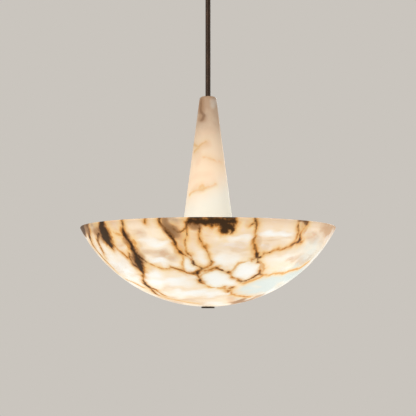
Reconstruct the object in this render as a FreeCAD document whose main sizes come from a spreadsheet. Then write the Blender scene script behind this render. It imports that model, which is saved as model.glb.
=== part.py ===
"""Alabaster bowl pendant: a shallow stone bowl and a stone cone on a hollow rod, hung from a swivel.

Millimetres, +Z up. The ceiling is the plane z = 0, and the rod hangs from it down the Z axis.
"""

import FreeCAD, Part
import Sketcher
import math
import os

doc = FreeCAD.newDocument("alabaster_bowl_pendant")

# ---------------------------------------------------------------- driving dimensions

DRIVING_SIZES = [
    # ceiling bracket: a strip bent into a shallow hat, screwed up through two slots
    ("bracket_length", 112, "end to end over both feet"),
    ("bracket_width", 24, "width of the strip"),
    ("bracket_gauge", 2.5, "thickness of the strip"),
    ("bridge_length", 64, "length of the lowered middle, over its two bends"),
    ("bridge_drop", 12, "depth of the bridge's upper face below the ceiling"),
    ("slot_spacing", 89, "between the middles of the two screw slots"),
    ("slot_length", 12, "end to end of a screw slot"),
    ("slot_width", 5, "width of a screw slot"),
    # hollow hanger bolt and its nuts
    ("bolt_diameter", 10, "shank of the hollow hanger bolt"),
    ("bolt_bore", 6.5, "cable passage through the hanger bolt"),
    ("bolt_recess", 7, "from the ceiling down to the bolt's upper end"),
    ("bolt_head_diameter", 15, "head that the swivel hangs on"),
    ("bolt_head_height", 4, "thickness of that head"),
    ("nut_across_flats", 14, "thin lock nuts on the bolt, the rod and the lampholders"),
    ("nut_height", 4, "thickness of the lock nuts on the bolt and the rod"),
    ("thread_gap", 0.05, "radial gap left where a thread engages"),
    ("slip_gap", 0.1, "radial gap between pieces that slide together by hand"),
    ("running_gap", 0.06, "gap between pieces that turn on each other"),
    ("screw_slot_width", 1, "driver slot in a screw's head"),
    ("screw_slot_depth", 1, "depth of that slot"),
    # mains connection on the bridge
    ("terminal_length", 22, "terminal block along the strip's width"),
    ("terminal_width", 15, "terminal block along the strip"),
    ("terminal_height", 9.5, "terminal block above the bridge"),
    ("terminal_pitch", 7, "between neighbouring ways of the block"),
    ("terminal_offset", 19, "from the bolt's axis to the block's middle"),
    ("terminal_bore", 3.2, "wire entry of one way"),
    ("terminal_screw_diameter", 3.5, "clamping screw of one way"),
    ("terminal_screw_length", 3.4, "depth of a clamping screw's hole in the block"),
    ("terminal_screw_sink", 0.6, "clamping screw's head below the block's face"),
    ("core_diameter", 1.7, "each insulated core of the cable"),
    ("core_pitch", 2, "between cores where they leave the cable"),
    ("core_rise", 4.2, "how far the cores rise before they turn to the block"),
    ("core_grip", 2, "core held inside a terminal's way"),
    ("earth_screw_offset", 20, "from the bolt's axis to the earth screw"),
    ("earth_screw_diameter", 4, "earth screw's shank"),
    ("earth_head_diameter", 8, "earth screw's head"),
    ("earth_head_height", 2.6, "thickness of that head"),
    ("earth_screw_length", 8, "earth screw below its head"),
    # canopy
    ("canopy_diameter", 130, "outside of the ceiling canopy"),
    ("canopy_depth", 26, "from the ceiling to the canopy's underside"),
    ("canopy_wall", 1.5, "spun metal of the canopy"),
    ("canopy_shoulder", 6, "outside radius of the canopy's edge"),
    ("ring_nut_diameter", 22, "round nut that holds the canopy up"),
    ("ring_nut_height", 5, "thickness of that nut"),
    ("spanner_hole_diameter", 2, "two holes under that nut for a pin spanner"),
    ("spanner_hole_depth", 3, "depth of those holes"),
    # swivel: a slotted socket that turns on the bolt, and a ball-ended tongue that tilts in it
    ("washer_diameter", 15, "nylon thrust washers, above and below the socket's plate"),
    ("washer_thickness", 1, "thickness of a thrust washer"),
    ("socket_diameter", 26, "outside of the swivel socket"),
    ("socket_plate", 4, "plate that rests on the bolt's head"),
    ("cheek_reach", 9, "from the pivot down to the ends of the cheeks"),
    ("cheek_span", 24.4, "across the two flats that the pivot screws' heads seat on"),
    ("tongue_diameter", 16, "barrel of the tongue, and its ball end"),
    ("tongue_length", 24, "from the pivot to the tongue's lower end"),
    ("tongue_side_gap", 0.2, "between the tongue and each cheek"),
    ("pivot_clearance", 1.5, "between the bolt's head and the tongue's ball end"),
    ("pivot_screw_diameter", 5, "each of the two pivot screws"),
    ("pivot_head_diameter", 9, "head of a pivot screw"),
    ("pivot_head_height", 2.2, "thickness of that head"),
    ("rod_socket", 12, "depth that the rod screws into the tongue"),
    # rod and cable
    ("rod_diameter", 10, "outside of the hollow rod"),
    ("rod_bore", 7, "inside of the hollow rod"),
    ("rod_showing", 246, "bare rod between the tongue and the cone"),
    ("cable_diameter", 6, "supply cable inside the rod"),
    ("wire_exit_diameter", 6, "side hole in the rod inside the lamp hub"),
    ("sheath_stop", 3.5, "end of the cable's sheath above the middle of that hole"),
    # stone cone
    ("cone_rise", 258, "cone's top above the plane of the bowl's rim"),
    ("cone_dip", 15, "cone's base below that plane"),
    ("cone_top_diameter", 32, "outside at the top"),
    ("cone_base_diameter", 103, "outside at the base"),
    ("cone_wall", 8, "stone wall, measured level"),
    ("cone_crown", 14, "solid stone at the cone's top"),
    ("cone_edge_radius", 6, "rounded top edge"),
    ("bush_wall", 1.2, "nylon bush between the rod and the cone"),
    # spider that carries the cone
    ("carrier_thickness", 3, "plate of the spider"),
    ("carrier_arm_width", 9, "each of its arms"),
    ("carrier_boss_diameter", 20, "middle of the spider"),
    ("carrier_lip_height", 4, "upstand that centres the cone"),
    ("carrier_lip_wall", 2, "thickness of that upstand"),
    ("pad_thickness", 1, "silicone ring under the cone"),
    ("spacer_diameter", 14, "tube between the lamp hub and the spider"),
    # lamp hub, lampholders and bulbs
    ("lamp_depth", 80, "lampholders' axes below the plane of the rim"),
    ("hub_diameter", 64, "outside of the lamp hub"),
    ("hub_height", 28, "outside height of the lamp hub"),
    ("hub_wall", 2, "sheet of the lamp hub"),
    ("hub_cover_thickness", 2.5, "disc that closes the hub"),
    ("connector_width", 9, "connector in the hub, outward from the rod"),
    ("connector_length", 16, "that connector across"),
    ("connector_height", 9, "that connector above the hub's cover"),
    ("connector_reach", 14, "from the rod's axis to the connector's near face"),
    ("connector_pitch", 5, "between its ways"),
    ("connector_bore", 2.6, "wire entry of one of its ways"),
    ("lead_diameter", 3, "twin lead to a lampholder"),
    ("holder_diameter", 26, "lampholder's body"),
    ("holder_length", 34, "lampholder's body along its axis"),
    ("holder_floor", 11, "thickness at the bottom of the lampholder's cup"),
    ("holder_neck_diameter", 10, "threaded neck through the hub's wall"),
    ("holder_neck_bore", 7, "wire passage in that neck"),
    ("holder_neck_length", 8, "neck inside the hub's outer face"),
    ("holder_nut_height", 2.5, "thin nut inside the hub"),
    ("cap_diameter", 14.2, "screw cap of a bulb"),
    ("cap_length", 20, "screw cap inside the lampholder"),
    ("bulb_stand_off", 0.4, "between the lampholder's mouth and the bulb's neck"),
    ("bulb_neck_diameter", 22, "neck of a bulb"),
    ("bulb_neck_length", 8, "straight part of the neck"),
    ("bulb_collar", 2, "moulded collar that closes the neck"),
    ("bulb_diameter", 45, "globe of a bulb"),
    ("bulb_wall", 1.2, "wall of the globe"),
    # stone bowl
    ("bowl_diameter", 500, "outside of the rim"),
    ("bowl_depth", 154, "from the plane of the rim to the lowest point"),
    ("bowl_wall", 10, "stone wall"),
    ("bowl_lip_radius", 2, "rounding of the rim's outer and inner edges"),
    ("foot_margin", 1, "flat spot under the bowl beyond the end cap"),
    ("seat_margin", 2, "flat seat inside the bowl beyond the flange"),
    # what clamps the bowl to the rod's end
    ("flange_diameter", 52, "steel flange inside the bowl"),
    ("flange_thickness", 3, "thickness of that flange"),
    ("inner_gasket_thickness", 1.5, "silicone under the flange"),
    ("outer_gasket_thickness", 0.8, "silicone over the end cap"),
    ("gasket_inset", 0.8, "how far a gasket stays inside its flange or cap"),
    ("sleeve_wall", 1.2, "nylon sleeve in the bowl's hole"),
    ("end_cap_diameter", 26, "visible disc under the bowl"),
    ("end_cap_thickness", 2.6, "thickness of that disc"),
    ("end_cap_edge", 0.6, "rounding of that disc's lower edge"),
    ("end_cap_boss_diameter", 13, "threaded boss on the end cap"),
    ("end_cap_boss_length", 9, "length of that boss"),
]
BULB_COUNT = 3
FIRST_BULB_ANGLE = 90.0
CORE_COUNT = 3
FREE_ANGLE = FIRST_BULB_ANGLE - 180.0 / BULB_COUNT
ARC_SHARE = 0.45

sheet = doc.addObject("Spreadsheet::Sheet", "Sizes")
for row, (alias, value, note) in enumerate(DRIVING_SIZES, start=1):
    sheet.set(f"A{row}", alias)
    sheet.set(f"B{row}", str(value))
    sheet.setAlias(f"B{row}", alias)
    sheet.set(f"C{row}", note)
doc.recompute()


class Length:
    """A size or a place: its value now, and the expression that keeps a feature tied to the sheet."""

    def __init__(self, value, text):
        self.value = float(value)
        self.text = text

    def __add__(self, other):
        other = as_length(other)
        return Length(self.value + other.value, f"({self.text} + {other.text})")

    def __sub__(self, other):
        other = as_length(other)
        return Length(self.value - other.value, f"({self.text} - {other.text})")

    def __mul__(self, other):
        other = as_length(other)
        return Length(self.value * other.value, f"({self.text} * {other.text})")

    def __truediv__(self, other):
        other = as_length(other)
        return Length(self.value / other.value, f"({self.text} / {other.text})")

    def __neg__(self):
        return Length(-self.value, f"(0 - {self.text})")


def as_length(number):
    return number if isinstance(number, Length) else Length(number, f"{number:g}")


def square_root(length):
    return Length(math.sqrt(length.value), f"sqrt({length.text})")


class Sizes:
    """The sheet's cells as lengths, one attribute for each alias."""


size = Sizes()
for alias, _, _ in DRIVING_SIZES:
    setattr(size, alias, Length(sheet.get(alias), f"Sizes.{alias}"))

ZERO = as_length(0)

# ---------------------------------------------------------------- radii and places worked out from them

bolt_radius = size.bolt_diameter / 2
rod_radius = size.rod_diameter / 2
tongue_radius = size.tongue_diameter / 2
cone_top_radius = size.cone_top_diameter / 2
cone_base_radius = size.cone_base_diameter / 2
hub_radius = size.hub_diameter / 2
bowl_radius = size.bowl_diameter / 2
flange_radius = size.flange_diameter / 2
end_cap_radius = size.end_cap_diameter / 2
slip_on_rod = rod_radius + size.slip_gap
nut_corner_radius = size.nut_across_flats / math.sqrt(3)
bolt_top = -size.bolt_recess

# swivel, downward from the ceiling
bridge_under = -(size.bridge_drop + size.bracket_gauge)
canopy_under = -size.canopy_depth
ring_nut_z = canopy_under - size.ring_nut_height
upper_washer_z = ring_nut_z - size.washer_thickness
socket_top = upper_washer_z - size.running_gap
socket_plate_under = socket_top - size.socket_plate
lower_washer_z = socket_plate_under - size.running_gap - size.washer_thickness
bolt_head_under = lower_washer_z - size.bolt_head_height
pivot_z = bolt_head_under - size.pivot_clearance - tongue_radius
tongue_under = pivot_z - size.tongue_length
rod_top = tongue_under + size.rod_socket
tongue_bore = size.rod_bore / 2
tongue_ball_top = square_root(tongue_radius * tongue_radius - tongue_bore * tongue_bore)

# mains terminals
terminal_near_face = size.terminal_offset - size.terminal_width / 2
terminal_way_z = -size.bridge_drop + size.terminal_height / 2

# stone
cone_top = tongue_under - size.rod_showing
rim_z = cone_top - size.cone_rise
cone_base = rim_z - size.cone_dip
cone_height = size.cone_rise + size.cone_dip
bowl_under = rim_z - size.bowl_depth
bowl_sphere = (bowl_radius * bowl_radius + size.bowl_depth * size.bowl_depth) / (size.bowl_depth * 2)
bowl_inner_sphere = bowl_sphere - size.bowl_wall

# the bowl's two flats, as heights above its lowest point
foot_radius = end_cap_radius + size.foot_margin
foot_height = bowl_sphere - square_root(bowl_sphere * bowl_sphere - foot_radius * foot_radius)
seat_radius = flange_radius + size.seat_margin
seat_height = bowl_sphere - square_root(bowl_inner_sphere * bowl_inner_sphere - seat_radius * seat_radius)
rim_from_centre = bowl_sphere - size.bowl_depth
bowl_inner_rim = square_root(bowl_inner_sphere * bowl_inner_sphere - rim_from_centre * rim_from_centre)

# stack at the rod's lower end
end_cap_top = bowl_under + foot_height - size.outer_gasket_thickness
inner_gasket_z = bowl_under + seat_height
flange_z = inner_gasket_z + size.inner_gasket_thickness
flange_nut_z = flange_z + size.flange_thickness
boss_radius = size.end_cap_boss_diameter / 2
sleeve_inner_radius = boss_radius + size.slip_gap
sleeve_outer_radius = sleeve_inner_radius + size.sleeve_wall
bowl_hole_radius = sleeve_outer_radius + size.slip_gap

# stack that carries the lamps and the cone
lamp_z = rim_z - size.lamp_depth
hub_under = lamp_z - size.hub_height / 2
hub_top = lamp_z + size.hub_height / 2
cable_end_z = lamp_z + size.sheath_stop
hub_cover_z = hub_under - size.hub_cover_thickness
hub_nut_z = hub_cover_z - size.nut_height
pad_z = cone_base - size.pad_thickness
carrier_z = pad_z - size.carrier_thickness
cone_base_inner = cone_base_radius - size.cone_wall
cone_taper = (cone_base_radius - cone_top_radius) / cone_height


# ---------------------------------------------------------------- drawing and feature helpers

def origin_plane(body, role):
    return next(f for f in body.Origin.OriginFeatures if f.Role == role)


def new_body(name, z=ZERO, rotation=None):
    """An empty body, placed at height z and turned as asked."""
    body = doc.addObject("PartDesign::Body", name)
    if rotation is not None:
        body.Placement = FreeCAD.Placement(FreeCAD.Vector(), rotation)
    body.setExpression("Placement.Base.z", z.text)
    return body


def hold_distance(sketch, direction, geometry, point, length):
    """Ties one coordinate of a sketch point to the sheet. direction is DistanceX or DistanceY."""
    if length is ZERO:
        axis = -2 if direction == "DistanceX" else -1
        sketch.addConstraint(Sketcher.Constraint("PointOnObject", geometry, point, axis))
        return
    index = sketch.addConstraint(
        Sketcher.Constraint(direction, -1, 1, geometry, point, length.value)
    )
    sketch.setExpression(f"Constraints[{index}]", length.text)


def arc_about_axis(start, end):
    """The arc between two points whose centre is on the vertical axis, and whether it runs forwards."""
    (r1, h1), (r2, h2) = start, end
    middle = (r1 * r1 + h1 * h1 - r2 * r2 - h2 * h2) / (2 * (h1 - h2))
    first = math.atan2(h1 - middle, r1)
    last = math.atan2(h2 - middle, r2)
    circle = Part.Circle(
        FreeCAD.Vector(0, middle, 0), FreeCAD.Vector(0, 0, 1), math.hypot(r1, h1 - middle)
    )
    forwards = last > first
    return Part.ArcOfCircle(circle, min(first, last), max(first, last)), forwards


def draw_outline(body, name, plane, corners):
    """A closed sketch of corners (across, up). One with "arc" after them starts an arc about the axis."""
    sketch = body.newObject("Sketcher::SketchObject", name)
    sketch.AttachmentSupport = (origin_plane(body, plane), [""])
    sketch.MapMode = "FlatFace"
    ends = []
    for i, corner in enumerate(corners):
        following = corners[(i + 1) % len(corners)]
        start = (corner[0].value, corner[1].value)
        end = (following[0].value, following[1].value)
        if len(corner) == 3:
            arc, forwards = arc_about_axis(start, end)
            index = sketch.addGeometry(arc, False)
            ends.append((index, 1, 2) if forwards else (index, 2, 1))
            sketch.addConstraint(Sketcher.Constraint("PointOnObject", index, 3, -2))
        else:
            line = Part.LineSegment(FreeCAD.Vector(*start, 0), FreeCAD.Vector(*end, 0))
            index = sketch.addGeometry(line, False)
            ends.append((index, 1, 2))
    for i, (index, _, end_point) in enumerate(ends):
        next_index, next_start, _ = ends[(i + 1) % len(ends)]
        sketch.addConstraint(
            Sketcher.Constraint("Coincident", index, end_point, next_index, next_start)
        )
    for corner, (index, start_point, _) in zip(corners, ends):
        hold_distance(sketch, "DistanceX", index, start_point, corner[0])
        hold_distance(sketch, "DistanceY", index, start_point, corner[1])
    return sketch


def revolve(body, name, corners):
    """Adds a ring or disc to the body: the outline turned about the body's Z axis."""
    sketch = draw_outline(body, name + "_outline", "XZ_Plane", corners)
    turning = body.newObject("PartDesign::Revolution", name + "_turning")
    turning.Profile = sketch
    turning.ReferenceAxis = (sketch, ["V_Axis"])
    turning.Angle = 360
    return turning


def turned(name, corners, z=ZERO, rotation=None):
    """A whole piece made on a lathe."""
    body = new_body(name, z, rotation)
    revolve(body, name, corners)
    return body


def tube(name, inner_radius, outer_radius, length, z=ZERO, rotation=None):
    """A plain tube or washer, standing on z."""
    corners = [
        (inner_radius, ZERO),
        (outer_radius, ZERO),
        (outer_radius, length),
        (inner_radius, length),
    ]
    return turned(name, corners, z, rotation)


def bind(feature, **lengths):
    """Ties properties to the sheet. A place is written place_x, place_y or place_z."""
    for key, length in lengths.items():
        path = "Placement.Base." + key[-1] if key.startswith("place_") else key
        feature.setExpression(path, length.text)


def cut_hole(body, name, radius, length, rotation=None, **place):
    """Takes a round hole out of the body, from its place along its own Z."""
    hole = body.newObject("PartDesign::SubtractiveCylinder", name)
    if rotation is not None:
        hole.Placement = FreeCAD.Placement(FreeCAD.Vector(), rotation)
    bind(hole, Radius=radius, Height=length, **place)
    return hole


def cut_box(body, name, length, width, height, **place):
    """Takes a box out of the body, from its lowest corner."""
    box = body.newObject("PartDesign::SubtractiveBox", name)
    bind(box, Length=length, Width=width, Height=height, **place)
    return box


def cut_driver_slot(body, name, head_radius, head_face):
    """Takes a screwdriver's slot out of a round head whose face is at that height."""
    return cut_box(
        body,
        name,
        head_radius * 2,
        size.screw_slot_width,
        size.screw_slot_depth,
        place_x=-head_radius,
        place_y=-size.screw_slot_width / 2,
        place_z=head_face - size.screw_slot_depth,
    )


def hexagon_nut(name, bore_radius, height, z=ZERO, rotation=None):
    body = new_body(name, z, rotation)
    prism = body.newObject("PartDesign::AdditivePrism", name + "_blank")
    prism.Polygon = 6
    bind(prism, Circumradius=nut_corner_radius, Height=height)
    cut_hole(body, name + "_thread", bore_radius, height)
    return body


def group(name, members):
    """One node of separate, identical solids."""
    compound = doc.addObject("Part::Compound", name)
    compound.Links = members
    return compound


def runs_and_arcs(points):
    """Straight runs joined by tangent arcs, each as large as its two runs allow, and the arcs' radii."""
    edges = []
    radii = []
    start = points[0]
    for before, corner, after in zip(points, points[1:], points[2:]):
        inward = corner - before
        outward = after - corner
        reach = ARC_SHARE * min(inward.Length, outward.Length)
        turn = inward.getAngle(outward)
        radius = reach / math.tan(turn / 2)
        inward.normalize()
        outward.normalize()
        enter = corner - inward * reach
        leave = corner + outward * reach
        to_centre = (outward - inward).normalize()
        summit = corner + to_centre * (radius / math.cos(turn / 2) - radius)
        edges.append(Part.makeLine(start, enter))
        edges.append(Part.Arc(enter, summit, leave).toShape())
        radii.append(radius)
        start = leave
    edges.append(Part.makeLine(start, points[-1]))
    return Part.Wire(edges), radii


def insulated(name, routes, diameter, rotation=None):
    """One node of round insulated wires, one along each route of points."""
    solids = []
    for route in routes:
        points = [FreeCAD.Vector(*(length.value for length in point)) for point in route]
        path, radii = runs_and_arcs(points)
        ring = Part.Wire(Part.makeCircle(diameter.value / 2, points[0], points[1] - points[0]))
        solids.append(path.makePipeShell([ring], True, False))
        share = solids[-1].Volume / (path.Length * math.pi * diameter.value**2 / 4)
        print(name, "radii", [round(radius, 2) for radius in radii], "volume share", round(share, 4))
    feature = doc.addObject("Part::Feature", name)
    feature.Shape = Part.makeCompound(solids)
    if rotation is not None:
        feature.Placement = FreeCAD.Placement(FreeCAD.Vector(), rotation)
    return feature


def circles_at(shape, radius, height):
    """Names of a shape's round edges of that radius at that height."""
    names = []
    for i, edge in enumerate(shape.Edges, start=1):
        if not isinstance(edge.Curve, Part.Circle):
            continue
        off_radius = abs(edge.Curve.Radius - radius.value)
        off_height = abs(edge.Curve.Center.z - height.value)
        if off_radius < 1e-4 and off_height < 1e-4:
            names.append(f"Edge{i}")
    return names


def round_edges(body, name, base, edges, radius):
    """Rounds round edges of the base feature. edges is a list of (radius, height)."""
    doc.recompute()
    names = []
    for edge_radius, edge_height in edges:
        names += circles_at(base.Shape, edge_radius, edge_height)
    fillet = body.newObject("PartDesign::Fillet", name)
    fillet.Base = (base, names)
    bind(fillet, Radius=radius)
    return fillet


def radial(angle):
    """Turns a piece's own Z outwards, level, at that angle about the rod."""
    return FreeCAD.Rotation(angle, 90, 0)


ALONG_X = FreeCAD.Rotation(0, 90, 0)
ALONG_Y = FreeCAD.Rotation(0, 0, -90)
AGAINST_Y = FreeCAD.Rotation(0, 0, 90)

nodes = []


def keep(node):
    nodes.append(node)
    return node


# ---------------------------------------------------------------- at the ceiling

def make_ceiling_bracket():
    half_length = size.bracket_length / 2
    half_bridge = size.bridge_length / 2
    inside_bend = half_bridge - size.bracket_gauge
    corners = [
        (-half_length, ZERO),
        (-inside_bend, ZERO),
        (-inside_bend, -size.bridge_drop),
        (inside_bend, -size.bridge_drop),
        (inside_bend, ZERO),
        (half_length, ZERO),
        (half_length, -size.bracket_gauge),
        (half_bridge, -size.bracket_gauge),
        (half_bridge, bridge_under),
        (-half_bridge, bridge_under),
        (-half_bridge, -size.bracket_gauge),
        (-half_length, -size.bracket_gauge),
    ]
    body = new_body("ceiling_bracket")
    sketch = draw_outline(body, "bracket_outline", "XZ_Plane", corners)
    strip = body.newObject("PartDesign::Pad", "bracket_strip")
    strip.Profile = sketch
    strip.Midplane = True
    bind(strip, Length=size.bracket_width)
    cut_hole(body, "bracket_bolt_hole", bolt_radius + size.slip_gap, size.bracket_gauge, place_z=bridge_under)
    cut_hole(
        body,
        "bracket_earth_hole",
        size.earth_screw_diameter / 2 + size.thread_gap,
        size.bracket_gauge,
        place_x=-size.earth_screw_offset,
        place_z=bridge_under,
    )
    straight = size.slot_length - size.slot_width
    slot_radius = size.slot_width / 2
    for side, sign in (("left", -1), ("right", 1)):
        middle = size.slot_spacing / 2 * sign
        cut_box(
            body,
            f"bracket_slot_{side}",
            straight,
            size.slot_width,
            size.bracket_gauge,
            place_x=middle - straight / 2,
            place_y=-slot_radius,
            place_z=-size.bracket_gauge,
        )
        for end, shift in (("inner", -straight / 2), ("outer", straight / 2)):
            cut_hole(
                body,
                f"bracket_slot_{side}_{end}_end",
                slot_radius,
                size.bracket_gauge,
                place_x=middle + shift,
                place_z=-size.bracket_gauge,
            )
    return body


def make_hanger_bolt():
    head_top = bolt_head_under + size.bolt_head_height
    bore = size.bolt_bore / 2
    head = size.bolt_head_diameter / 2
    corners = [
        (bore, bolt_head_under),
        (head, bolt_head_under),
        (head, head_top),
        (bolt_radius, head_top),
        (bolt_radius, bolt_top),
        (bore, bolt_top),
    ]
    return turned("hanger_bolt", corners)


def make_bolt_nuts():
    thread = bolt_radius + size.thread_gap
    above = hexagon_nut("bolt_nut_above", thread, size.nut_height, -size.bridge_drop)
    below = hexagon_nut("bolt_nut_below", thread, size.nut_height, bridge_under - size.nut_height)
    return group("bolt_lock_nuts", [above, below])


def spread(pitch):
    """Offsets of the cable's cores, or of the ways they go to, about their middle."""
    middle = (CORE_COUNT - 1) / 2
    return [pitch * (core - middle) for core in range(CORE_COUNT)]


def make_terminal_block():
    body = new_body("terminal_block", -size.bridge_drop)
    block = body.newObject("PartDesign::AdditiveBox", "terminal_moulding")
    bind(
        block,
        Length=size.terminal_width,
        Width=size.terminal_length,
        Height=size.terminal_height,
        place_x=terminal_near_face,
        place_y=-size.terminal_length / 2,
    )
    for way, across in enumerate(spread(size.terminal_pitch), start=1):
        cut_hole(
            body,
            f"terminal_way_{way}",
            size.terminal_bore / 2,
            size.terminal_width,
            ALONG_X,
            place_x=terminal_near_face,
            place_y=across,
            place_z=size.terminal_height / 2,
        )
        cut_hole(
            body,
            f"terminal_screw_hole_{way}",
            size.terminal_screw_diameter / 2 + size.thread_gap,
            size.terminal_screw_length,
            place_x=size.terminal_offset,
            place_y=across,
            place_z=size.terminal_height - size.terminal_screw_length,
        )
    return body


def make_terminal_screws():
    screws = []
    for way, across in enumerate(spread(size.terminal_pitch), start=1):
        top = -size.bridge_drop + size.terminal_height
        body = new_body(f"terminal_screw_{way}", top - size.terminal_screw_length)
        bind(body, place_x=size.terminal_offset, place_y=across)
        screw = body.newObject("PartDesign::AdditiveCylinder", f"terminal_screw_shank_{way}")
        radius = size.terminal_screw_diameter / 2
        length = size.terminal_screw_length - size.terminal_screw_sink
        bind(screw, Radius=radius, Height=length)
        cut_driver_slot(body, f"terminal_screw_slot_{way}", radius, length)
        screws.append(body)
    return group("terminal_screws", screws)


def make_mains_cores():
    """The cable's cores rise out of the bolt and turn over to the terminal block."""
    turn_z = bolt_top + size.core_rise
    clear_of_nut = terminal_near_face - size.core_grip
    routes = []
    for start, end in zip(spread(size.core_pitch), spread(size.terminal_pitch)):
        routes.append(
            [
                (ZERO, start, bolt_top),
                (ZERO, start, turn_z),
                (clear_of_nut / 2, (start + end) / 2, turn_z),
                (clear_of_nut, end, terminal_way_z),
                (terminal_near_face + size.core_grip, end, terminal_way_z),
            ]
        )
    return insulated("mains_cores", routes, size.core_diameter)


def make_earth_screw():
    shank = size.earth_screw_diameter / 2
    head = size.earth_head_diameter / 2
    corners = [
        (ZERO, -size.earth_screw_length),
        (shank, -size.earth_screw_length),
        (shank, ZERO),
        (head, ZERO),
        (head, size.earth_head_height),
        (ZERO, size.earth_head_height),
    ]
    body = turned("earth_screw", corners, -size.bridge_drop)
    bind(body, place_x=-size.earth_screw_offset)
    cut_driver_slot(body, "earth_screw_slot", head, size.earth_head_height)
    return body


def make_canopy():
    outside = size.canopy_diameter / 2
    inside = outside - size.canopy_wall
    hole = bolt_radius + size.slip_gap
    corners = [
        (hole, ZERO),
        (outside, ZERO),
        (outside, size.canopy_depth),
        (inside, size.canopy_depth),
        (inside, size.canopy_wall),
        (hole, size.canopy_wall),
    ]
    body = new_body("canopy", canopy_under)
    shell = revolve(body, "canopy", corners)
    shoulder = round_edges(body, "canopy_outer_shoulder", shell, [(outside, ZERO)], size.canopy_shoulder)
    round_edges(
        body,
        "canopy_inner_shoulder",
        shoulder,
        [(inside, size.canopy_wall)],
        size.canopy_shoulder - size.canopy_wall,
    )
    return body


def make_canopy_ring_nut():
    """The pin spanner's holes are midway between the upper washer's edge and the nut's."""
    outside = size.ring_nut_diameter / 2
    body = tube(
        "canopy_ring_nut",
        bolt_radius + size.thread_gap,
        outside,
        size.ring_nut_height,
        ring_nut_z,
    )
    hole_reach = (size.washer_diameter / 2 + outside) / 2
    for side, reach in (("left", -hole_reach), ("right", hole_reach)):
        cut_hole(
            body,
            f"ring_nut_spanner_hole_{side}",
            size.spanner_hole_diameter / 2,
            size.spanner_hole_depth,
            place_x=reach,
        )
    return body


def make_thrust_washers():
    inside = bolt_radius + size.slip_gap
    outside = size.washer_diameter / 2
    upper = tube("thrust_washer_upper", inside, outside, size.washer_thickness, upper_washer_z)
    lower = tube("thrust_washer_lower", inside, outside, size.washer_thickness, lower_washer_z)
    return group("thrust_washers", [upper, lower])


# ---------------------------------------------------------------- swivel

def make_swivel_socket():
    """A turned cup with its mouth down, slotted right across so that the tongue can tilt in it."""
    outside = size.socket_diameter / 2
    bore = bolt_radius + size.running_gap
    cheek_end = -(socket_top - pivot_z + size.cheek_reach)
    corners = [(bore, cheek_end), (outside, cheek_end), (outside, ZERO), (bore, ZERO)]
    body = new_body("swivel_socket", socket_top)
    revolve(body, "swivel_socket", corners)
    slot_width = size.tongue_diameter + size.tongue_side_gap * 2
    cut_box(
        body,
        "swivel_socket_slot",
        size.socket_diameter,
        slot_width,
        -cheek_end - size.socket_plate,
        place_x=-outside,
        place_y=-slot_width / 2,
        place_z=cheek_end,
    )
    flat_depth = (size.socket_diameter - size.cheek_span) / 2
    for side, corner in (("front", -outside), ("back", outside - flat_depth)):
        cut_box(
            body,
            f"swivel_socket_flat_{side}",
            size.socket_diameter,
            flat_depth,
            size.cheek_reach * 2,
            place_x=-outside,
            place_y=corner,
            place_z=cheek_end,
        )
    cut_hole(
        body,
        "swivel_socket_pivot_holes",
        size.pivot_screw_diameter / 2 + size.thread_gap,
        size.socket_diameter,
        ALONG_Y,
        place_y=-outside,
        place_z=pivot_z - socket_top,
    )
    return body


def make_pivot_screws():
    """Two short screws, one through each cheek, that leave the cable's way between them open."""
    shank = size.pivot_screw_diameter / 2
    head = size.pivot_head_diameter / 2
    tip = (tongue_radius + size.rod_bore / 2) / 2
    head_seat = size.cheek_span / 2
    face = head_seat + size.pivot_head_height
    corners = [
        (ZERO, tip),
        (shank, tip),
        (shank, head_seat),
        (head, head_seat),
        (head, face),
        (ZERO, face),
    ]
    front = turned("pivot_screw_front", corners, pivot_z, AGAINST_Y)
    back = turned("pivot_screw_back", corners, pivot_z, ALONG_Y)
    cut_driver_slot(front, "pivot_screw_slot_front", head, face)
    cut_driver_slot(back, "pivot_screw_slot_back", head, face)
    return group("pivot_screws", [front, back])


def make_swivel_tongue():
    bore = tongue_bore
    thread = rod_radius + size.thread_gap
    socket_floor = size.rod_socket - size.tongue_length
    corners = [
        (bore, socket_floor),
        (thread, socket_floor),
        (thread, -size.tongue_length),
        (tongue_radius, -size.tongue_length),
        (tongue_radius, ZERO, "arc"),
        (bore, tongue_ball_top),
    ]
    body = new_body("swivel_tongue", pivot_z)
    revolve(body, "swivel_tongue", corners)
    cut_hole(
        body,
        "swivel_tongue_pivot_holes",
        size.pivot_screw_diameter / 2 + size.running_gap,
        size.tongue_diameter,
        ALONG_Y,
        place_y=-tongue_radius,
    )
    return body


# ---------------------------------------------------------------- rod and cable

def make_rod():
    """One tube from the swivel to the end cap, with a side hole for the wires inside the lamp hub."""
    body = new_body("rod", end_cap_top)
    length = rod_top - end_cap_top
    revolve(
        body,
        "rod",
        [
            (size.rod_bore / 2, ZERO),
            (rod_radius, ZERO),
            (rod_radius, length),
            (size.rod_bore / 2, length),
        ],
    )
    cut_hole(
        body,
        "rod_wire_exit",
        size.wire_exit_diameter / 2,
        rod_radius,
        radial(FREE_ANGLE),
        place_z=lamp_z - end_cap_top,
    )
    return body


def make_supply_cable(part, bottom, top):
    """A stretch of the one cable. It's told in two parts, because it bends at the swivel's pivot."""
    body = new_body(f"supply_cable_{part}", bottom)
    sheath = body.newObject("PartDesign::AdditiveCylinder", f"supply_cable_sheath_{part}")
    bind(sheath, Radius=size.cable_diameter / 2, Height=top - bottom)
    return body


def make_rod_nuts():
    thread = rod_radius + size.thread_gap
    places = {
        "under_hub": hub_nut_z,
        "on_spider": carrier_z + size.carrier_thickness,
        "on_flange": flange_nut_z,
    }
    nuts = [hexagon_nut(f"rod_nut_{where}", thread, size.nut_height, z) for where, z in places.items()]
    return group("rod_lock_nuts", nuts)


# ---------------------------------------------------------------- stone cone and its spider

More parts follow.
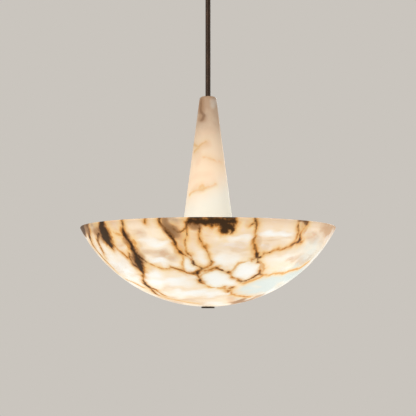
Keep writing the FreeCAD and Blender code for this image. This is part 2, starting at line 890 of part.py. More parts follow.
def make_cone():
    hole = slip_on_rod + size.bush_wall + size.slip_gap
    crown_under = cone_height - size.cone_crown
    crown_inner = cone_top_radius + cone_taper * size.cone_crown - size.cone_wall
    corners = [
        (hole, cone_height),
        (hole, crown_under),
        (crown_inner, crown_under),
        (cone_base_inner, ZERO),
        (cone_base_radius, ZERO),
        (cone_top_radius, cone_height),
    ]
    body = new_body("cone", cone_base)
    stone = revolve(body, "cone", corners)
    round_edges(body, "cone_top_edge", stone, [(cone_top_radius, cone_height)], size.cone_edge_radius)
    return body


def make_cone_bush():
    return tube(
        "cone_bush",
        slip_on_rod,
        slip_on_rod + size.bush_wall,
        size.cone_crown,
        cone_top - size.cone_crown,
    )


def make_cone_pad():
    return tube(
        "cone_pad",
        cone_base_inner + size.slip_gap,
        cone_base_radius,
        size.pad_thickness,
        pad_z,
    )


def make_cone_spider():
    """A ring on three arms. Light from the bulbs rises between the arms into the cone."""
    body = new_body("cone_spider", carrier_z)
    thick = size.carrier_thickness
    lip_outer = cone_base_inner - cone_taper * size.carrier_lip_height - size.slip_gap
    ring_inner = lip_outer - size.carrier_lip_wall
    boss = body.newObject("PartDesign::AdditiveCylinder", "spider_boss")
    bind(boss, Radius=size.carrier_boss_diameter / 2, Height=thick)
    arm = body.newObject("PartDesign::AdditiveBox", "spider_arm")
    bind(
        arm,
        Length=lip_outer,
        Width=size.carrier_arm_width,
        Height=thick,
        place_y=-size.carrier_arm_width / 2,
    )
    arms = body.newObject("PartDesign::PolarPattern", "spider_arms")
    arms.Originals = [arm]
    arms.Axis = (origin_plane(body, "Z_Axis"), [""])
    arms.Angle = 360
    arms.Occurrences = 3
    body.Tip = arms
    revolve(
        body,
        "spider_rim",
        [
            (ring_inner, ZERO),
            (cone_base_radius, ZERO),
            (cone_base_radius, thick),
            (lip_outer, thick),
            (lip_outer, thick + size.carrier_lip_height),
            (ring_inner, thick + size.carrier_lip_height),
        ],
    )
    cut_hole(body, "spider_bore", slip_on_rod, thick)
    return body


def make_rod_spacer():
    return tube("rod_spacer", slip_on_rod, size.spacer_diameter / 2, carrier_z - hub_top, hub_top)


# ---------------------------------------------------------------- lamps

def bulb_angles():
    return [FIRST_BULB_ANGLE + 360.0 / BULB_COUNT * i for i in range(BULB_COUNT)]


def make_lamp_hub():
    inside = hub_radius - size.hub_wall
    corners = [
        (slip_on_rod, size.hub_height - size.hub_wall),
        (inside, size.hub_height - size.hub_wall),
        (inside, ZERO),
        (hub_radius, ZERO),
        (hub_radius, size.hub_height),
        (slip_on_rod, size.hub_height),
    ]
    body = new_body("lamp_hub", hub_under)
    revolve(body, "lamp_hub", corners)
    for number, angle in enumerate(bulb_angles(), start=1):
        cut_hole(
            body,
            f"lamp_hub_neck_hole_{number}",
            size.holder_neck_diameter / 2 + size.slip_gap,
            hub_radius,
            radial(angle),
            place_z=size.hub_height / 2,
        )
    return body


def make_lamp_hub_cover():
    return tube("lamp_hub_cover", slip_on_rod, hub_radius, size.hub_cover_thickness, hub_cover_z)


def make_hub_connector():
    """Joins the cable's cores to the lampholders' leads, between two lampholders."""
    body = new_body("hub_connector", hub_under, FreeCAD.Rotation(FREE_ANGLE, 0, 0))
    block = body.newObject("PartDesign::AdditiveBox", "connector_moulding")
    bind(
        block,
        Length=size.connector_width,
        Width=size.connector_length,
        Height=size.connector_height,
        place_x=size.connector_reach,
        place_y=-size.connector_length / 2,
    )
    for way, across in enumerate(spread(size.connector_pitch), start=1):
        cut_hole(
            body,
            f"connector_way_{way}",
            size.connector_bore / 2,
            size.connector_width / 2,
            ALONG_X,
            place_x=size.connector_reach,
            place_y=across,
            place_z=size.connector_height / 2,
        )
    return body


def make_hub_cores():
    """The cores leave the sheath, turn out through the rod's side hole and drop to the connector."""
    way_z = hub_under + size.connector_height / 2
    past_hole = rod_radius + size.core_diameter
    routes = []
    for start, end in zip(spread(size.core_pitch), spread(size.connector_pitch)):
        routes.append(
            [
                (ZERO, start, cable_end_z),
                (ZERO, start, lamp_z),
                (past_hole, start, lamp_z),
                (size.connector_reach - size.core_grip * 2, end, way_z),
                (size.connector_reach + size.core_grip, end, way_z),
            ]
        )
    return insulated("hub_cores", routes, size.core_diameter, FreeCAD.Rotation(FREE_ANGLE, 0, 0))


def make_lamp_leads():
    """A twin lead from the connector's top into each lampholder's neck. One goes round the rod."""
    top = hub_under + size.connector_height
    near = [
        (as_length(18.5), as_length(4), top),
        (as_length(18.5), as_length(4), top + 3.5),
        (as_length(14), as_length(8.5), top + 7.5),
        (as_length(8.5), as_length(14.72), lamp_z),
        (as_length(14.5), as_length(25.11), lamp_z),
    ]
    mirrored = [(along, -across, height) for along, across, height in near]
    far = [
        (as_length(16), ZERO, top),
        (as_length(16), ZERO, top + 5),
        (as_length(10), as_length(-4.5), top + 10.5),
        (as_length(2), as_length(-9.5), top + 12),
        (as_length(-8), as_length(-9), top + 10),
        (as_length(-15), as_length(-2.5), lamp_z),
        (as_length(-29), ZERO, lamp_z),
    ]
    return insulated(
        "lamp_leads", [near, mirrored, far], size.lead_diameter, FreeCAD.Rotation(FREE_ANGLE, 0, 0)
    )


def make_lampholder(number, angle):
    neck_bore = size.holder_neck_bore / 2
    neck = size.holder_neck_diameter / 2
    body_radius = size.holder_diameter / 2
    cup = size.cap_diameter / 2 + size.thread_gap
    neck_end = hub_radius - size.holder_neck_length
    cup_floor = hub_radius + size.holder_floor
    mouth = hub_radius + size.holder_length
    corners = [
        (neck_bore, neck_end),
        (neck, neck_end),
        (neck, hub_radius),
        (body_radius, hub_radius),
        (body_radius, mouth),
        (cup, mouth),
        (cup, cup_floor),
        (neck_bore, cup_floor),
    ]
    return turned(f"lampholder_{number}", corners, lamp_z, radial(angle))


def make_holder_nuts():
    """Thin nuts inside the hub. Their upright sides meet the hub's round wall."""
    wall = hub_radius - size.hub_wall
    half_flats = size.nut_across_flats / 2
    reach = square_root(wall * wall - half_flats * half_flats)
    nuts = []
    for number, angle in enumerate(bulb_angles(), start=1):
        body = new_body(f"holder_nut_{number}", lamp_z, radial(angle))
        prism = body.newObject("PartDesign::AdditivePrism", f"holder_nut_blank_{number}")
        prism.Polygon = 6
        start = reach - size.holder_nut_height
        bind(prism, Circumradius=nut_corner_radius, Height=size.holder_nut_height, place_z=start)
        cut_hole(
            body,
            f"holder_nut_thread_{number}",
            size.holder_neck_diameter / 2 + size.thread_gap,
            size.holder_nut_height,
            place_z=start,
        )
        nuts.append(body)
    return group("holder_lock_nuts", nuts)


bulb_start = hub_radius + size.holder_length + size.bulb_stand_off
bulb_neck_radius = size.bulb_neck_diameter / 2
bulb_radius = size.bulb_diameter / 2
bulb_shoulder = bulb_start + size.bulb_collar + size.bulb_neck_length
bulb_centre = bulb_shoulder + square_root(bulb_radius * bulb_radius - bulb_neck_radius * bulb_neck_radius)


def make_bulb_base(number, angle):
    """The screw cap and the moulded collar that closes the globe's neck."""
    cap = size.cap_diameter / 2
    cap_end = bulb_start - size.bulb_stand_off - size.cap_length
    corners = [
        (ZERO, cap_end),
        (cap, cap_end),
        (cap, bulb_start),
        (bulb_neck_radius, bulb_start),
        (bulb_neck_radius, bulb_start + size.bulb_collar),
        (ZERO, bulb_start + size.bulb_collar),
    ]
    return turned(f"bulb_base_{number}", corners, lamp_z, radial(angle))


def make_bulb_globe(number, angle):
    inner_neck = bulb_neck_radius - size.bulb_wall
    inner_radius = bulb_radius - size.bulb_wall
    inner_shoulder = bulb_centre - square_root(inner_radius * inner_radius - inner_neck * inner_neck)
    corners = [
        (inner_neck, bulb_start + size.bulb_collar),
        (bulb_neck_radius, bulb_start + size.bulb_collar),
        (bulb_neck_radius, bulb_shoulder, "arc"),
        (ZERO, bulb_centre + bulb_radius),
        (ZERO, bulb_centre + inner_radius, "arc"),
        (inner_neck, inner_shoulder),
    ]
    return turned(f"bulb_globe_{number}", corners, lamp_z, radial(angle))


# ---------------------------------------------------------------- stone bowl and its clamp

def make_bowl():
    """A shell between two spheres about one centre, flat where it is clamped, with a rounded lip."""
    corners = [
        (bowl_hole_radius, foot_height),
        (foot_radius, foot_height, "arc"),
        (bowl_radius, size.bowl_depth),
        (bowl_inner_rim, size.bowl_depth, "arc"),
        (seat_radius, seat_height),
        (bowl_hole_radius, seat_height),
    ]
    body = new_body("bowl", bowl_under)
    stone = revolve(body, "bowl", corners)
    rim_edges = [(bowl_radius, size.bowl_depth), (bowl_inner_rim, size.bowl_depth)]
    round_edges(body, "bowl_lip", stone, rim_edges, size.bowl_lip_radius)
    return body


def make_bowl_sleeve():
    return tube(
        "bowl_sleeve",
        sleeve_inner_radius,
        sleeve_outer_radius,
        seat_height - foot_height,
        bowl_under + foot_height,
    )


def make_gaskets():
    keep(
        tube(
            "inner_gasket",
            bowl_hole_radius,
            flange_radius - size.gasket_inset,
            size.inner_gasket_thickness,
            inner_gasket_z,
        )
    )
    keep(
        tube(
            "outer_gasket",
            bowl_hole_radius,
            end_cap_radius - size.gasket_inset,
            size.outer_gasket_thickness,
            end_cap_top,
        )
    )


def make_bowl_flange():
    return tube("bowl_flange", slip_on_rod, flange_radius, size.flange_thickness, flange_z)


def make_end_cap():
    """The disc under the bowl. Its boss reaches up through the stone and takes the rod's thread."""
    thick = size.end_cap_thickness
    boss_top = thick + size.end_cap_boss_length
    thread = rod_radius + size.thread_gap
    corners = [
        (ZERO, ZERO),
        (end_cap_radius, ZERO),
        (end_cap_radius, thick),
        (boss_radius, thick),
        (boss_radius, boss_top),
        (thread, boss_top),
        (thread, thick),
        (ZERO, thick),
    ]
    body = new_body("end_cap", end_cap_top - thick)
    disc = revolve(body, "end_cap", corners)
    round_edges(body, "end_cap_lower_edge", disc, [(end_cap_radius, ZERO)], size.end_cap_edge)
    return body


# ---------------------------------------------------------------- build

keep(make_ceiling_bracket())
keep(make_hanger_bolt())
keep(make_bolt_nuts())
keep(make_terminal_block())
keep(make_terminal_screws())
keep(make_earth_screw())
keep(make_canopy())
keep(make_canopy_ring_nut())
keep(make_thrust_washers())
keep(make_swivel_socket())
keep(make_pivot_screws())
keep(make_swivel_tongue())
keep(make_rod())
keep(make_supply_cable("upper", bolt_head_under, bolt_top))
keep(make_supply_cable("lower", cable_end_z, pivot_z + tongue_ball_top))
keep(make_mains_cores())
keep(make_rod_nuts())
keep(make_cone())
keep(make_cone_bush())
keep(make_cone_pad())
keep(make_cone_spider())
keep(make_rod_spacer())
keep(make_lamp_hub())
keep(make_lamp_hub_cover())
for number, angle in enumerate(bulb_angles(), start=1):
    keep(make_lampholder(number, angle))
    keep(make_bulb_base(number, angle))
    keep(make_bulb_globe(number, angle))
keep(make_holder_nuts())
keep(make_hub_connector())
keep(make_hub_cores())
keep(make_lamp_leads())
keep(make_bowl())
keep(make_bowl_sleeve())
make_gaskets()
keep(make_bowl_flange())
keep(make_end_cap())
doc.recompute()

# ---------------------------------------------------------------- check and write

for thing in doc.Objects:
    if "Invalid" in thing.State or "Error" in thing.State:
        raise RuntimeError(f"{thing.Label} failed: {thing.State}")
for node in nodes:
    if node.Shape.isNull() or not node.Shape.isValid() or not node.Shape.Solids:
        raise RuntimeError(f"{node.Label} has no valid solid")

os.makedirs("parts", exist_ok=True)
for node in nodes:
    node.Shape.exportStep(f"parts/{node.Label}.step")

print("places: pivot", round(pivot_z.value, 3), "cone top", round(cone_top.value, 3))
print("rim", round(rim_z.value, 3), "lamps", round(lamp_z.value, 3))
print("lowest", round((end_cap_top - size.end_cap_thickness).value, 3), "nodes", len(nodes))
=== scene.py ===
"""The looks of the alabaster bowl pendant: veined, lit stone, dark bronze metal and the lamps inside.

Everything is in metres in the part's own frame: the ceiling is z = 0 and the rod hangs down the Z axis.
The stone's pattern on the side that faces the camera is placed by points of the photograph's 416 x 416
frame, which are cast onto the bowl and the cone. The bowl's other side gets a grown pattern like it.
"""

import math

import bpy
import numpy as np
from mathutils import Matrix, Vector


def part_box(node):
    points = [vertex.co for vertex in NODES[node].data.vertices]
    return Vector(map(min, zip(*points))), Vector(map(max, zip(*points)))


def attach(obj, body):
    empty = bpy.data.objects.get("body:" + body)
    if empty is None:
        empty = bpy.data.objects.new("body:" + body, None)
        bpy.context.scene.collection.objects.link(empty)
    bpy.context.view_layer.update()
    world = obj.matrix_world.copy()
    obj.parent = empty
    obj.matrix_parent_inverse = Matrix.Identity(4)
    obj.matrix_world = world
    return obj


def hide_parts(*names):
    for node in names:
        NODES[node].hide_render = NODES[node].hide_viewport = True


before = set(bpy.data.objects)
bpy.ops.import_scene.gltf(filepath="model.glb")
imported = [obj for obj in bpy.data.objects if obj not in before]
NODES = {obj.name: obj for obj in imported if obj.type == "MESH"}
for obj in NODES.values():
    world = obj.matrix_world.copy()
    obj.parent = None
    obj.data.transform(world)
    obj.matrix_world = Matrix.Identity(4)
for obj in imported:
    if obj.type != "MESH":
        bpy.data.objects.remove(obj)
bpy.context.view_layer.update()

MM = 0.001
PENDANT = "pendant"

# -------------------------------- camera

PHOTO_SIZE = 416
CAMERA_DISTANCE = 3.0
CAMERA_BELOW_RIM = 0.232
CAMERA_PITCH = math.radians(5.15)
SENSOR_WIDTH = 36.0
FOCAL_PIXELS = 1541.0
CLIP_END = 50.0

RIM_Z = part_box("bowl")[1].z
cone_low, cone_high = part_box("cone")
CAMERA_PLACE = np.array([0.0, -CAMERA_DISTANCE, RIM_Z - CAMERA_BELOW_RIM])
CAMERA_FORWARD = np.array([0.0, math.cos(CAMERA_PITCH), math.sin(CAMERA_PITCH)])
CAMERA_UP = np.array([0.0, -math.sin(CAMERA_PITCH), math.cos(CAMERA_PITCH)])
CAMERA_RIGHT = np.array([1.0, 0.0, 0.0])


def make_camera():
    data = bpy.data.cameras.new("camera")
    data.sensor_width = SENSOR_WIDTH
    data.lens = FOCAL_PIXELS / PHOTO_SIZE * SENSOR_WIDTH
    data.clip_end = CLIP_END
    camera = bpy.data.objects.new("camera", data)
    camera.location = CAMERA_PLACE
    camera.rotation_euler = (math.pi / 2 + CAMERA_PITCH, 0, 0)
    bpy.context.scene.collection.objects.link(camera)
    bpy.context.scene.camera = camera


def seen_at(points):
    """Where points of the part lie in the photograph's frame, as columns across and down."""
    away = points - CAMERA_PLACE
    depth = away @ CAMERA_FORWARD
    across = PHOTO_SIZE / 2 + FOCAL_PIXELS * (away @ CAMERA_RIGHT) / depth
    down = PHOTO_SIZE / 2 - FOCAL_PIXELS * (away @ CAMERA_UP) / depth
    return across, down


def ray_through(across, down):
    """Unit direction from the camera through a point of the photograph's frame."""
    direction = (
        CAMERA_FORWARD
        + CAMERA_RIGHT * (across - PHOTO_SIZE / 2) / FOCAL_PIXELS
        - CAMERA_UP * (down - PHOTO_SIZE / 2) / FOCAL_PIXELS
    )
    return direction / np.linalg.norm(direction)


# -------------------------------- the stone's shape

BOWL_RADIUS = 250 * MM
BOWL_DEPTH = 154 * MM
BOWL_WALL = 10 * MM
BOWL_LIP = 2 * MM
SEAT_RADIUS = 28 * MM
FOOT_RADIUS = 14 * MM
SPHERE = (BOWL_RADIUS**2 + BOWL_DEPTH**2) / (2 * BOWL_DEPTH)
SPHERE_CENTRE = np.array([0.0, 0.0, RIM_Z - BOWL_DEPTH + SPHERE])
INNER_SPHERE = SPHERE - BOWL_WALL
HOLE_CLEARANCE = 0.1 * MM
BOWL_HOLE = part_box("bowl_sleeve")[1].x + HOLE_CLEARANCE

CONE_WALL = 8 * MM
CONE_CROWN = 14 * MM
CONE_EDGE = 6 * MM
CONE_TOP_RADIUS = 16 * MM
CONE_HEIGHT = cone_high.z - cone_low.z
CONE_BASE_RADIUS = cone_high.x
CONE_TAPER = (CONE_BASE_RADIUS - CONE_TOP_RADIUS) / CONE_HEIGHT
CONE_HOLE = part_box("cone_bush")[1].x + HOLE_CLEARANCE

OUTER_STEP = 2.0 * MM
INNER_STEP = 5.0 * MM
CORNER_STEPS = 5
FEWEST_IN_RING = 24


def rounded_corner(before, corner, after, radius):
    """Points of the arc that rounds a corner of a profile."""
    before, corner, after = (np.array(point, float) for point in (before, corner, after))
    into = (before - corner) / np.linalg.norm(before - corner)
    out = (after - corner) / np.linalg.norm(after - corner)
    half = math.acos(np.clip(into @ out, -1, 1)) / 2
    centre = corner + (into + out) / np.linalg.norm(into + out) * radius / math.sin(half)
    start = corner + into * radius / math.tan(half) - centre
    end = corner + out * radius / math.tan(half) - centre
    sweep = math.atan2(start[0] * end[1] - start[1] * end[0], start @ end)
    points = []
    for i in range(CORNER_STEPS + 1):
        angle = sweep * i / CORNER_STEPS
        turned = (
            start[0] * math.cos(angle) - start[1] * math.sin(angle),
            start[0] * math.sin(angle) + start[1] * math.cos(angle),
        )
        points.append((centre[0] + turned[0], centre[1] + turned[1]))
    return points


def sphere_run(radius, start_r, end_r, step):
    """Points (r, z) along the bowl's sphere of that radius, below its centre."""
    start, end = math.asin(start_r / radius), math.asin(end_r / radius)
    count = max(2, round(abs(end - start) * radius / step))
    angles = [start + (end - start) * i / count for i in range(count + 1)]
    centre = SPHERE_CENTRE[2]
    return [(radius * math.sin(a), centre - radius * math.cos(a)) for a in angles]


def straight_run(start, end, step):
    length = math.dist(start, end)
    count = max(1, round(length / step))
    return [
        (start[0] + (end[0] - start[0]) * i / count, start[1] + (end[1] - start[1]) * i / count)
        for i in range(count + 1)
    ]


def clear_of(corner, run):
    """The points of a run that lie below a rounded corner, with room for one short step between."""
    lowest = min(z for _, z in corner)
    return [point for point in run if point[1] < lowest - OUTER_STEP / 3]


def bowl_profile():
    rim_from_centre = SPHERE_CENTRE[2] - RIM_Z
    inner_rim = math.sqrt(INNER_SPHERE**2 - rim_from_centre**2)
    outer = sphere_run(SPHERE, FOOT_RADIUS, BOWL_RADIUS, OUTER_STEP)
    inner = sphere_run(INNER_SPHERE, inner_rim, SEAT_RADIUS, INNER_STEP)
    outer_lip = rounded_corner(outer[-3], outer[-1], inner[0], BOWL_LIP)
    inner_lip = rounded_corner(outer[-1], inner[0], inner[1], BOWL_LIP)
    foot = [(BOWL_HOLE, outer[0][1])]
    seat = [(BOWL_HOLE, inner[-1][1])]
    return foot + clear_of(outer_lip, outer) + outer_lip + inner_lip + clear_of(inner_lip, inner) + seat


def cone_profile():
    base, top = cone_low.z, cone_high.z
    outer = straight_run((CONE_BASE_RADIUS, base), (CONE_TOP_RADIUS, top), OUTER_STEP)
    edge = rounded_corner(outer[0], outer[-1], (CONE_HOLE, top), CONE_EDGE)
    crown_z = top - CONE_CROWN
    crown_r = CONE_TOP_RADIUS + CONE_TAPER * CONE_CROWN - CONE_WALL
    inner = straight_run((crown_r, crown_z), (CONE_BASE_RADIUS - CONE_WALL, base), INNER_STEP)
    return clear_of(edge, outer) + edge + [(CONE_HOLE, top), (CONE_HOLE, crown_z)] + inner


def lathe(name, profile):
    """A closed turned mesh. Each ring has the points its radius needs and is laced to the next."""
    steps = [math.dist(profile[i], profile[i - 1]) for i in range(len(profile))]
    shorter = [min(step, steps[(i + 1) % len(steps)]) for i, step in enumerate(steps)]
    spacing = [max(OUTER_STEP, min(INNER_STEP, step)) for step in shorter]
    counts = [max(FEWEST_IN_RING, round(math.tau * r / gap)) for (r, _), gap in zip(profile, spacing)]
    points = []
    starts = []
    for (r, z), count in zip(profile, counts):
        starts.append(len(points))
        angles = [math.tau * i / count for i in range(count)]
        points += [(r * math.cos(a), r * math.sin(a), z) for a in angles]
    faces = []
    for ring in range(len(profile)):
        following = (ring + 1) % len(profile)
        faces += lace(starts[ring], counts[ring], starts[following], counts[following])
    mesh = bpy.data.meshes.new(name)
    mesh.from_pydata(points, [], faces)
    mesh.update()
    mesh.shade_smooth()
    piece = bpy.data.objects.new(name, mesh)
    bpy.context.scene.collection.objects.link(piece)
    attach(piece, PENDANT)
    return piece


def lace(first, first_count, second, second_count):
    """Triangles between two rings of points that may differ in number."""
    faces = []
    i = j = 0
    while i < first_count or j < second_count:
        a = first + i % first_count
        b = second + j % second_count
        if j >= second_count or (i < first_count and (i + 1) / first_count <= (j + 1) / second_count):
            faces.append((a, first + (i + 1) % first_count, b))
            i += 1
        else:
            faces.append((a, second + (j + 1) % second_count, b))
            j += 1
    return faces


# -------------------------------- the stone's pattern in the photograph

# Each vein: points of the photograph's frame, each with the vein's width there in millimetres.
BOWL_VEINS = {
    "left_tip": [
        (86.5, 222, 8), (87, 225.5, 9), (88.7, 229, 9), (89.3, 233, 5), (89.8, 237, 10), (91.2, 241.5, 5),
        (93.8, 246.5, 5), (97, 250.8, 5), (100.4, 254.8, 5), (103.4, 258.3, 4.6), (106.2, 261.2, 4),
    ],
    "left_blotch": [
        (100.8, 220, 20), (102, 226, 24), (103.8, 230, 31), (104.5, 234, 36), (105.6, 237.5, 36),
        (107.8, 241.5, 29), (110.2, 245, 21), (112.2, 248.5, 11),
    ],
    "left_blotch_foot": [(98.8, 233.5, 9.5), (97.6, 238, 8), (98.2, 241.5, 6), (99.2, 245, 4.5)],
    "left_blotch_tail": [(100.8, 247.5, 2.4), (102.4, 250.5, 2.6), (103.8, 253.5, 1.6), (105, 257, 1)],
    "blotch_to_junction": [
        (112, 243, 5), (115, 246.5, 3.4), (118.5, 250, 2.6), (121.8, 252.3, 2.8), (124.5, 255, 3.4),
        (128, 258.5, 3),
    ],
    "junction_net": [
        (129.3, 253.8, 4.6), (129.8, 257, 5.6), (130.8, 260.6, 5.2), (133.6, 264.2, 5.6), (137, 267, 5),
    ],
    "junction_bridge": [(130, 256, 3.4), (134, 258.2, 4.6)],
    "main": [
        (121.7, 217.5, 6.2), (122.5, 224, 5.8), (123.3, 228, 7.4), (123.8, 231.5, 9.2), (125, 234.5, 12.6),
        (126.2, 237.5, 15), (128.3, 240.5, 13), (130.5, 243, 12), (132.2, 247, 13.4), (133.7, 251, 13),
        (135, 254.5, 16), (136.8, 258, 20.4), (138.6, 261, 26), (139.4, 264.5, 24.6), (140.4, 268, 17.6),
        (141.8, 271, 11.6), (143, 274, 6.6), (143.6, 278, 2.4), (144, 281, 5.6), (145.2, 284, 9.2),
        (147.5, 286, 10.2), (150, 288, 8.2),
    ],
    "main_fork_upper": [
        (150, 287.6, 4.8), (153, 288.6, 4.8), (156, 290, 4.4), (158.5, 291.8, 3.8), (161.5, 294, 2.4),
        (164.5, 295.4, 1),
    ],
    "main_fork_lower": [(150, 288, 5.2), (152.5, 290.6, 4.8), (155, 293, 5.6), (157.6, 295, 5.2)],
    "middle": [
        (139, 256.5, 13), (142, 258.6, 9.5), (144.8, 260.6, 6.4), (147.2, 262, 4.6), (150, 263.4, 2.6),
        (153, 265, 2), (157, 267, 1.5), (161, 268.3, 1.4), (166, 268.9, 1.8), (169, 268.8, 4.2),
        (170, 266.6, 4.8), (172.5, 267, 2.6), (176, 268.4, 2.4), (179, 269.5, 4.8), (181.5, 270.4, 6),
        (184, 271.2, 4.2), (187, 272.6, 1.4), (190.5, 273, 4), (194, 273.3, 4.6), (196.5, 273.4, 7),
    ],
    "slanting": [
        (159.4, 216.5, 6.4), (158.8, 221.3, 8.6), (160.4, 223.9, 7), (162.6, 226.2, 6), (165, 228.8, 6),
        (167.4, 231.6, 7), (169.7, 233.8, 9), (171.6, 235.8, 11), (173.1, 238, 9.6), (174, 240.2, 6.8),
        (174.1, 242.6, 5.4), (174.7, 245, 4), (176.5, 248, 3), (178.5, 250, 4), (180.4, 251.8, 7.6),
        (182, 253, 6), (184.2, 255, 3), (187.6, 257.6, 2.8), (190.6, 259.4, 3.2), (192.6, 261.2, 5),
        (194, 263.4, 7), (196.2, 265.2, 6.4), (199, 266.7, 6.2), (201.6, 268.6, 7.8),
    ],
    "lower_junction": [
        (201.6, 268.6, 7.8), (199.5, 271, 7.4), (197.2, 273, 9.4), (197.5, 275, 6.4), (198.5, 277.5, 3),
        (199.8, 279.6, 6.4), (201, 281.6, 7.8), (203, 283.4, 3),
    ],
    "oval_left": [
        (188, 224.6, 5), (185, 222.6, 5.4), (186.4, 226, 4.4), (187.1, 229, 3), (187.1, 232, 2.4),
        (186.3, 236, 1.8), (185.5, 240, 1.9), (185, 245, 1.8), (185.6, 249, 1.8), (187, 252, 2.2),
        (189, 254.8, 2.8), (190.6, 255.7, 4), (191.8, 259, 2.8),
    ],
    "round_cell": [
        (172.6, 226.4, 3), (174.2, 229.8, 4), (177.4, 232.2, 3.4), (181, 232.2, 2.2), (184.2, 230.4, 2.2),
        (186.4, 227.4, 3),
    ],
    "oval_right": [
        (199.8, 224, 7), (199.7, 227, 5.4), (199.3, 231, 3.6), (199.1, 235, 3), (199.8, 238.6, 2.8),
        (200.6, 241.4, 3.6), (202.8, 243.6, 3), (204.8, 246, 4.6), (206, 247.2, 4), (206.6, 250, 1.6),
        (207.9, 253.6, 1.6), (209.2, 257, 1.8), (210.4, 260, 2.4), (211.3, 262.4, 5), (209.7, 265, 2.8),
        (207, 267.1, 3), (203.6, 268.3, 3.6), (201.6, 268.6, 5),
    ],
    "rim_band": [(190, 221.2, 19), (199, 221.6, 20), (211, 220.8, 19), (222, 221, 19), (233, 221.4, 16)],
    "rim_band_top": [(190, 217, 12), (211, 216.6, 12), (234, 217, 12)],
    "rim_blob": [(223.6, 224, 18), (224.3, 229, 19), (225, 232, 13)],
    "rim_blob_right": [(228.4, 226, 18), (230.6, 227.4, 18), (231.8, 229.4, 14)],
    "rim_blob_spot": [(231.2, 230, 4.8), (231.3, 233.2, 4.8)],
    "rim_tooth": [(211, 223, 10), (211.6, 226, 6.4)],
    "rim_stub": [(144.9, 217, 4.6), (144.9, 221, 4.4), (145.4, 223, 3)],
    "white_left_top": [
        (204, 270.4, 1.4), (209, 269.6, 1), (214.4, 268, 2), (216.8, 268, 6.6), (219.6, 269.5, 4),
        (222, 270.4, 4.2), (225, 271.4, 2), (228.5, 272.4, 5), (230, 273, 2),
    ],
    "white_right_bottom": [
        (231.5, 277, 1.4), (234, 278, 1.8), (237.5, 279.2, 1.6), (240, 281.2, 8.2), (243, 281, 6.6),
        (246, 280.6, 5.4), (250, 279, 4.6), (254, 276.9, 4.2), (257.6, 275, 5), (259.5, 273.6, 7.2),
        (262.6, 275, 4.2),
    ],
    "white_right_side": [(259.8, 270.4, 4.4), (259.6, 273.4, 7.4)],
    "right": [
        (255.8, 216.5, 7.2), (255.5, 221.6, 7.8), (256.5, 224, 5.8), (256.8, 228, 2.6), (256, 232, 2.2),
        (255.3, 236, 2.6), (253.8, 239, 2.8), (253.5, 242, 3.4), (254.5, 246, 3), (255.1, 249, 5.6),
        (256.4, 252, 3.8), (257, 255, 7.6), (256.4, 257.6, 8.2),
    ],
    "right_stub": [(254.4, 223.4, 3), (251.8, 224, 3.4), (249.6, 226, 1.4)],
    "right_knot": [(256.4, 257.6, 8), (260.2, 257, 8.6)],
    "right_knot_foot": [(257.6, 259, 6.2), (258.8, 261.6, 5.6)],
    "right_elbow": [(255.4, 259.4, 4.8), (251.6, 260.2, 5.6)],
    "right_branch": [
        (260.2, 257, 7.4), (262, 254.9, 3.6), (265, 253.3, 2.6), (268, 253, 1.8), (271, 252.2, 2.8),
        (275, 250.6, 1.4), (278, 249, 1.8), (281, 249.4, 1.6), (284.5, 249, 2.2), (287.2, 247.5, 2),
        (290, 246.3, 3), (292, 245, 6.4), (294, 243.3, 5.8), (296, 243, 5.8), (298, 242.4, 7.8),
        (299.3, 240.6, 6), (299.9, 237, 3), (300.4, 234, 2.4), (301.6, 231, 2.4), (303.6, 228.6, 2.2),
        (306, 226, 3), (307.2, 223.2, 9), (306.6, 220.6, 6.4),
    ],
    "right_spur": [(300.4, 242.2, 1.8), (301.8, 242, 4.4)],
    "right_riser_inner": [
        (298.4, 222.4, 1.4), (298.4, 225.4, 4), (298.4, 229, 2.4), (298.2, 233, 2.4), (297, 237, 1.8),
        (295.4, 240, 1.8), (294, 243, 2),
    ],
    "nodule": [(229.6, 288.6, 6), (231.6, 288, 7), (234.2, 286.6, 2.4)],
    "nodule_edge": [(224.6, 286.8, 1.6), (225.8, 289.4, 2.4), (228.2, 292, 3), (230.4, 290, 3)],
    "nodule_line": [
        (231.4, 291.4, 1), (232, 294.4, 3.4), (236, 295.5, 1.2), (241, 296.2, 2.2), (246, 296.8, 2.8),
        (251, 297, 1.4),
    ],
}

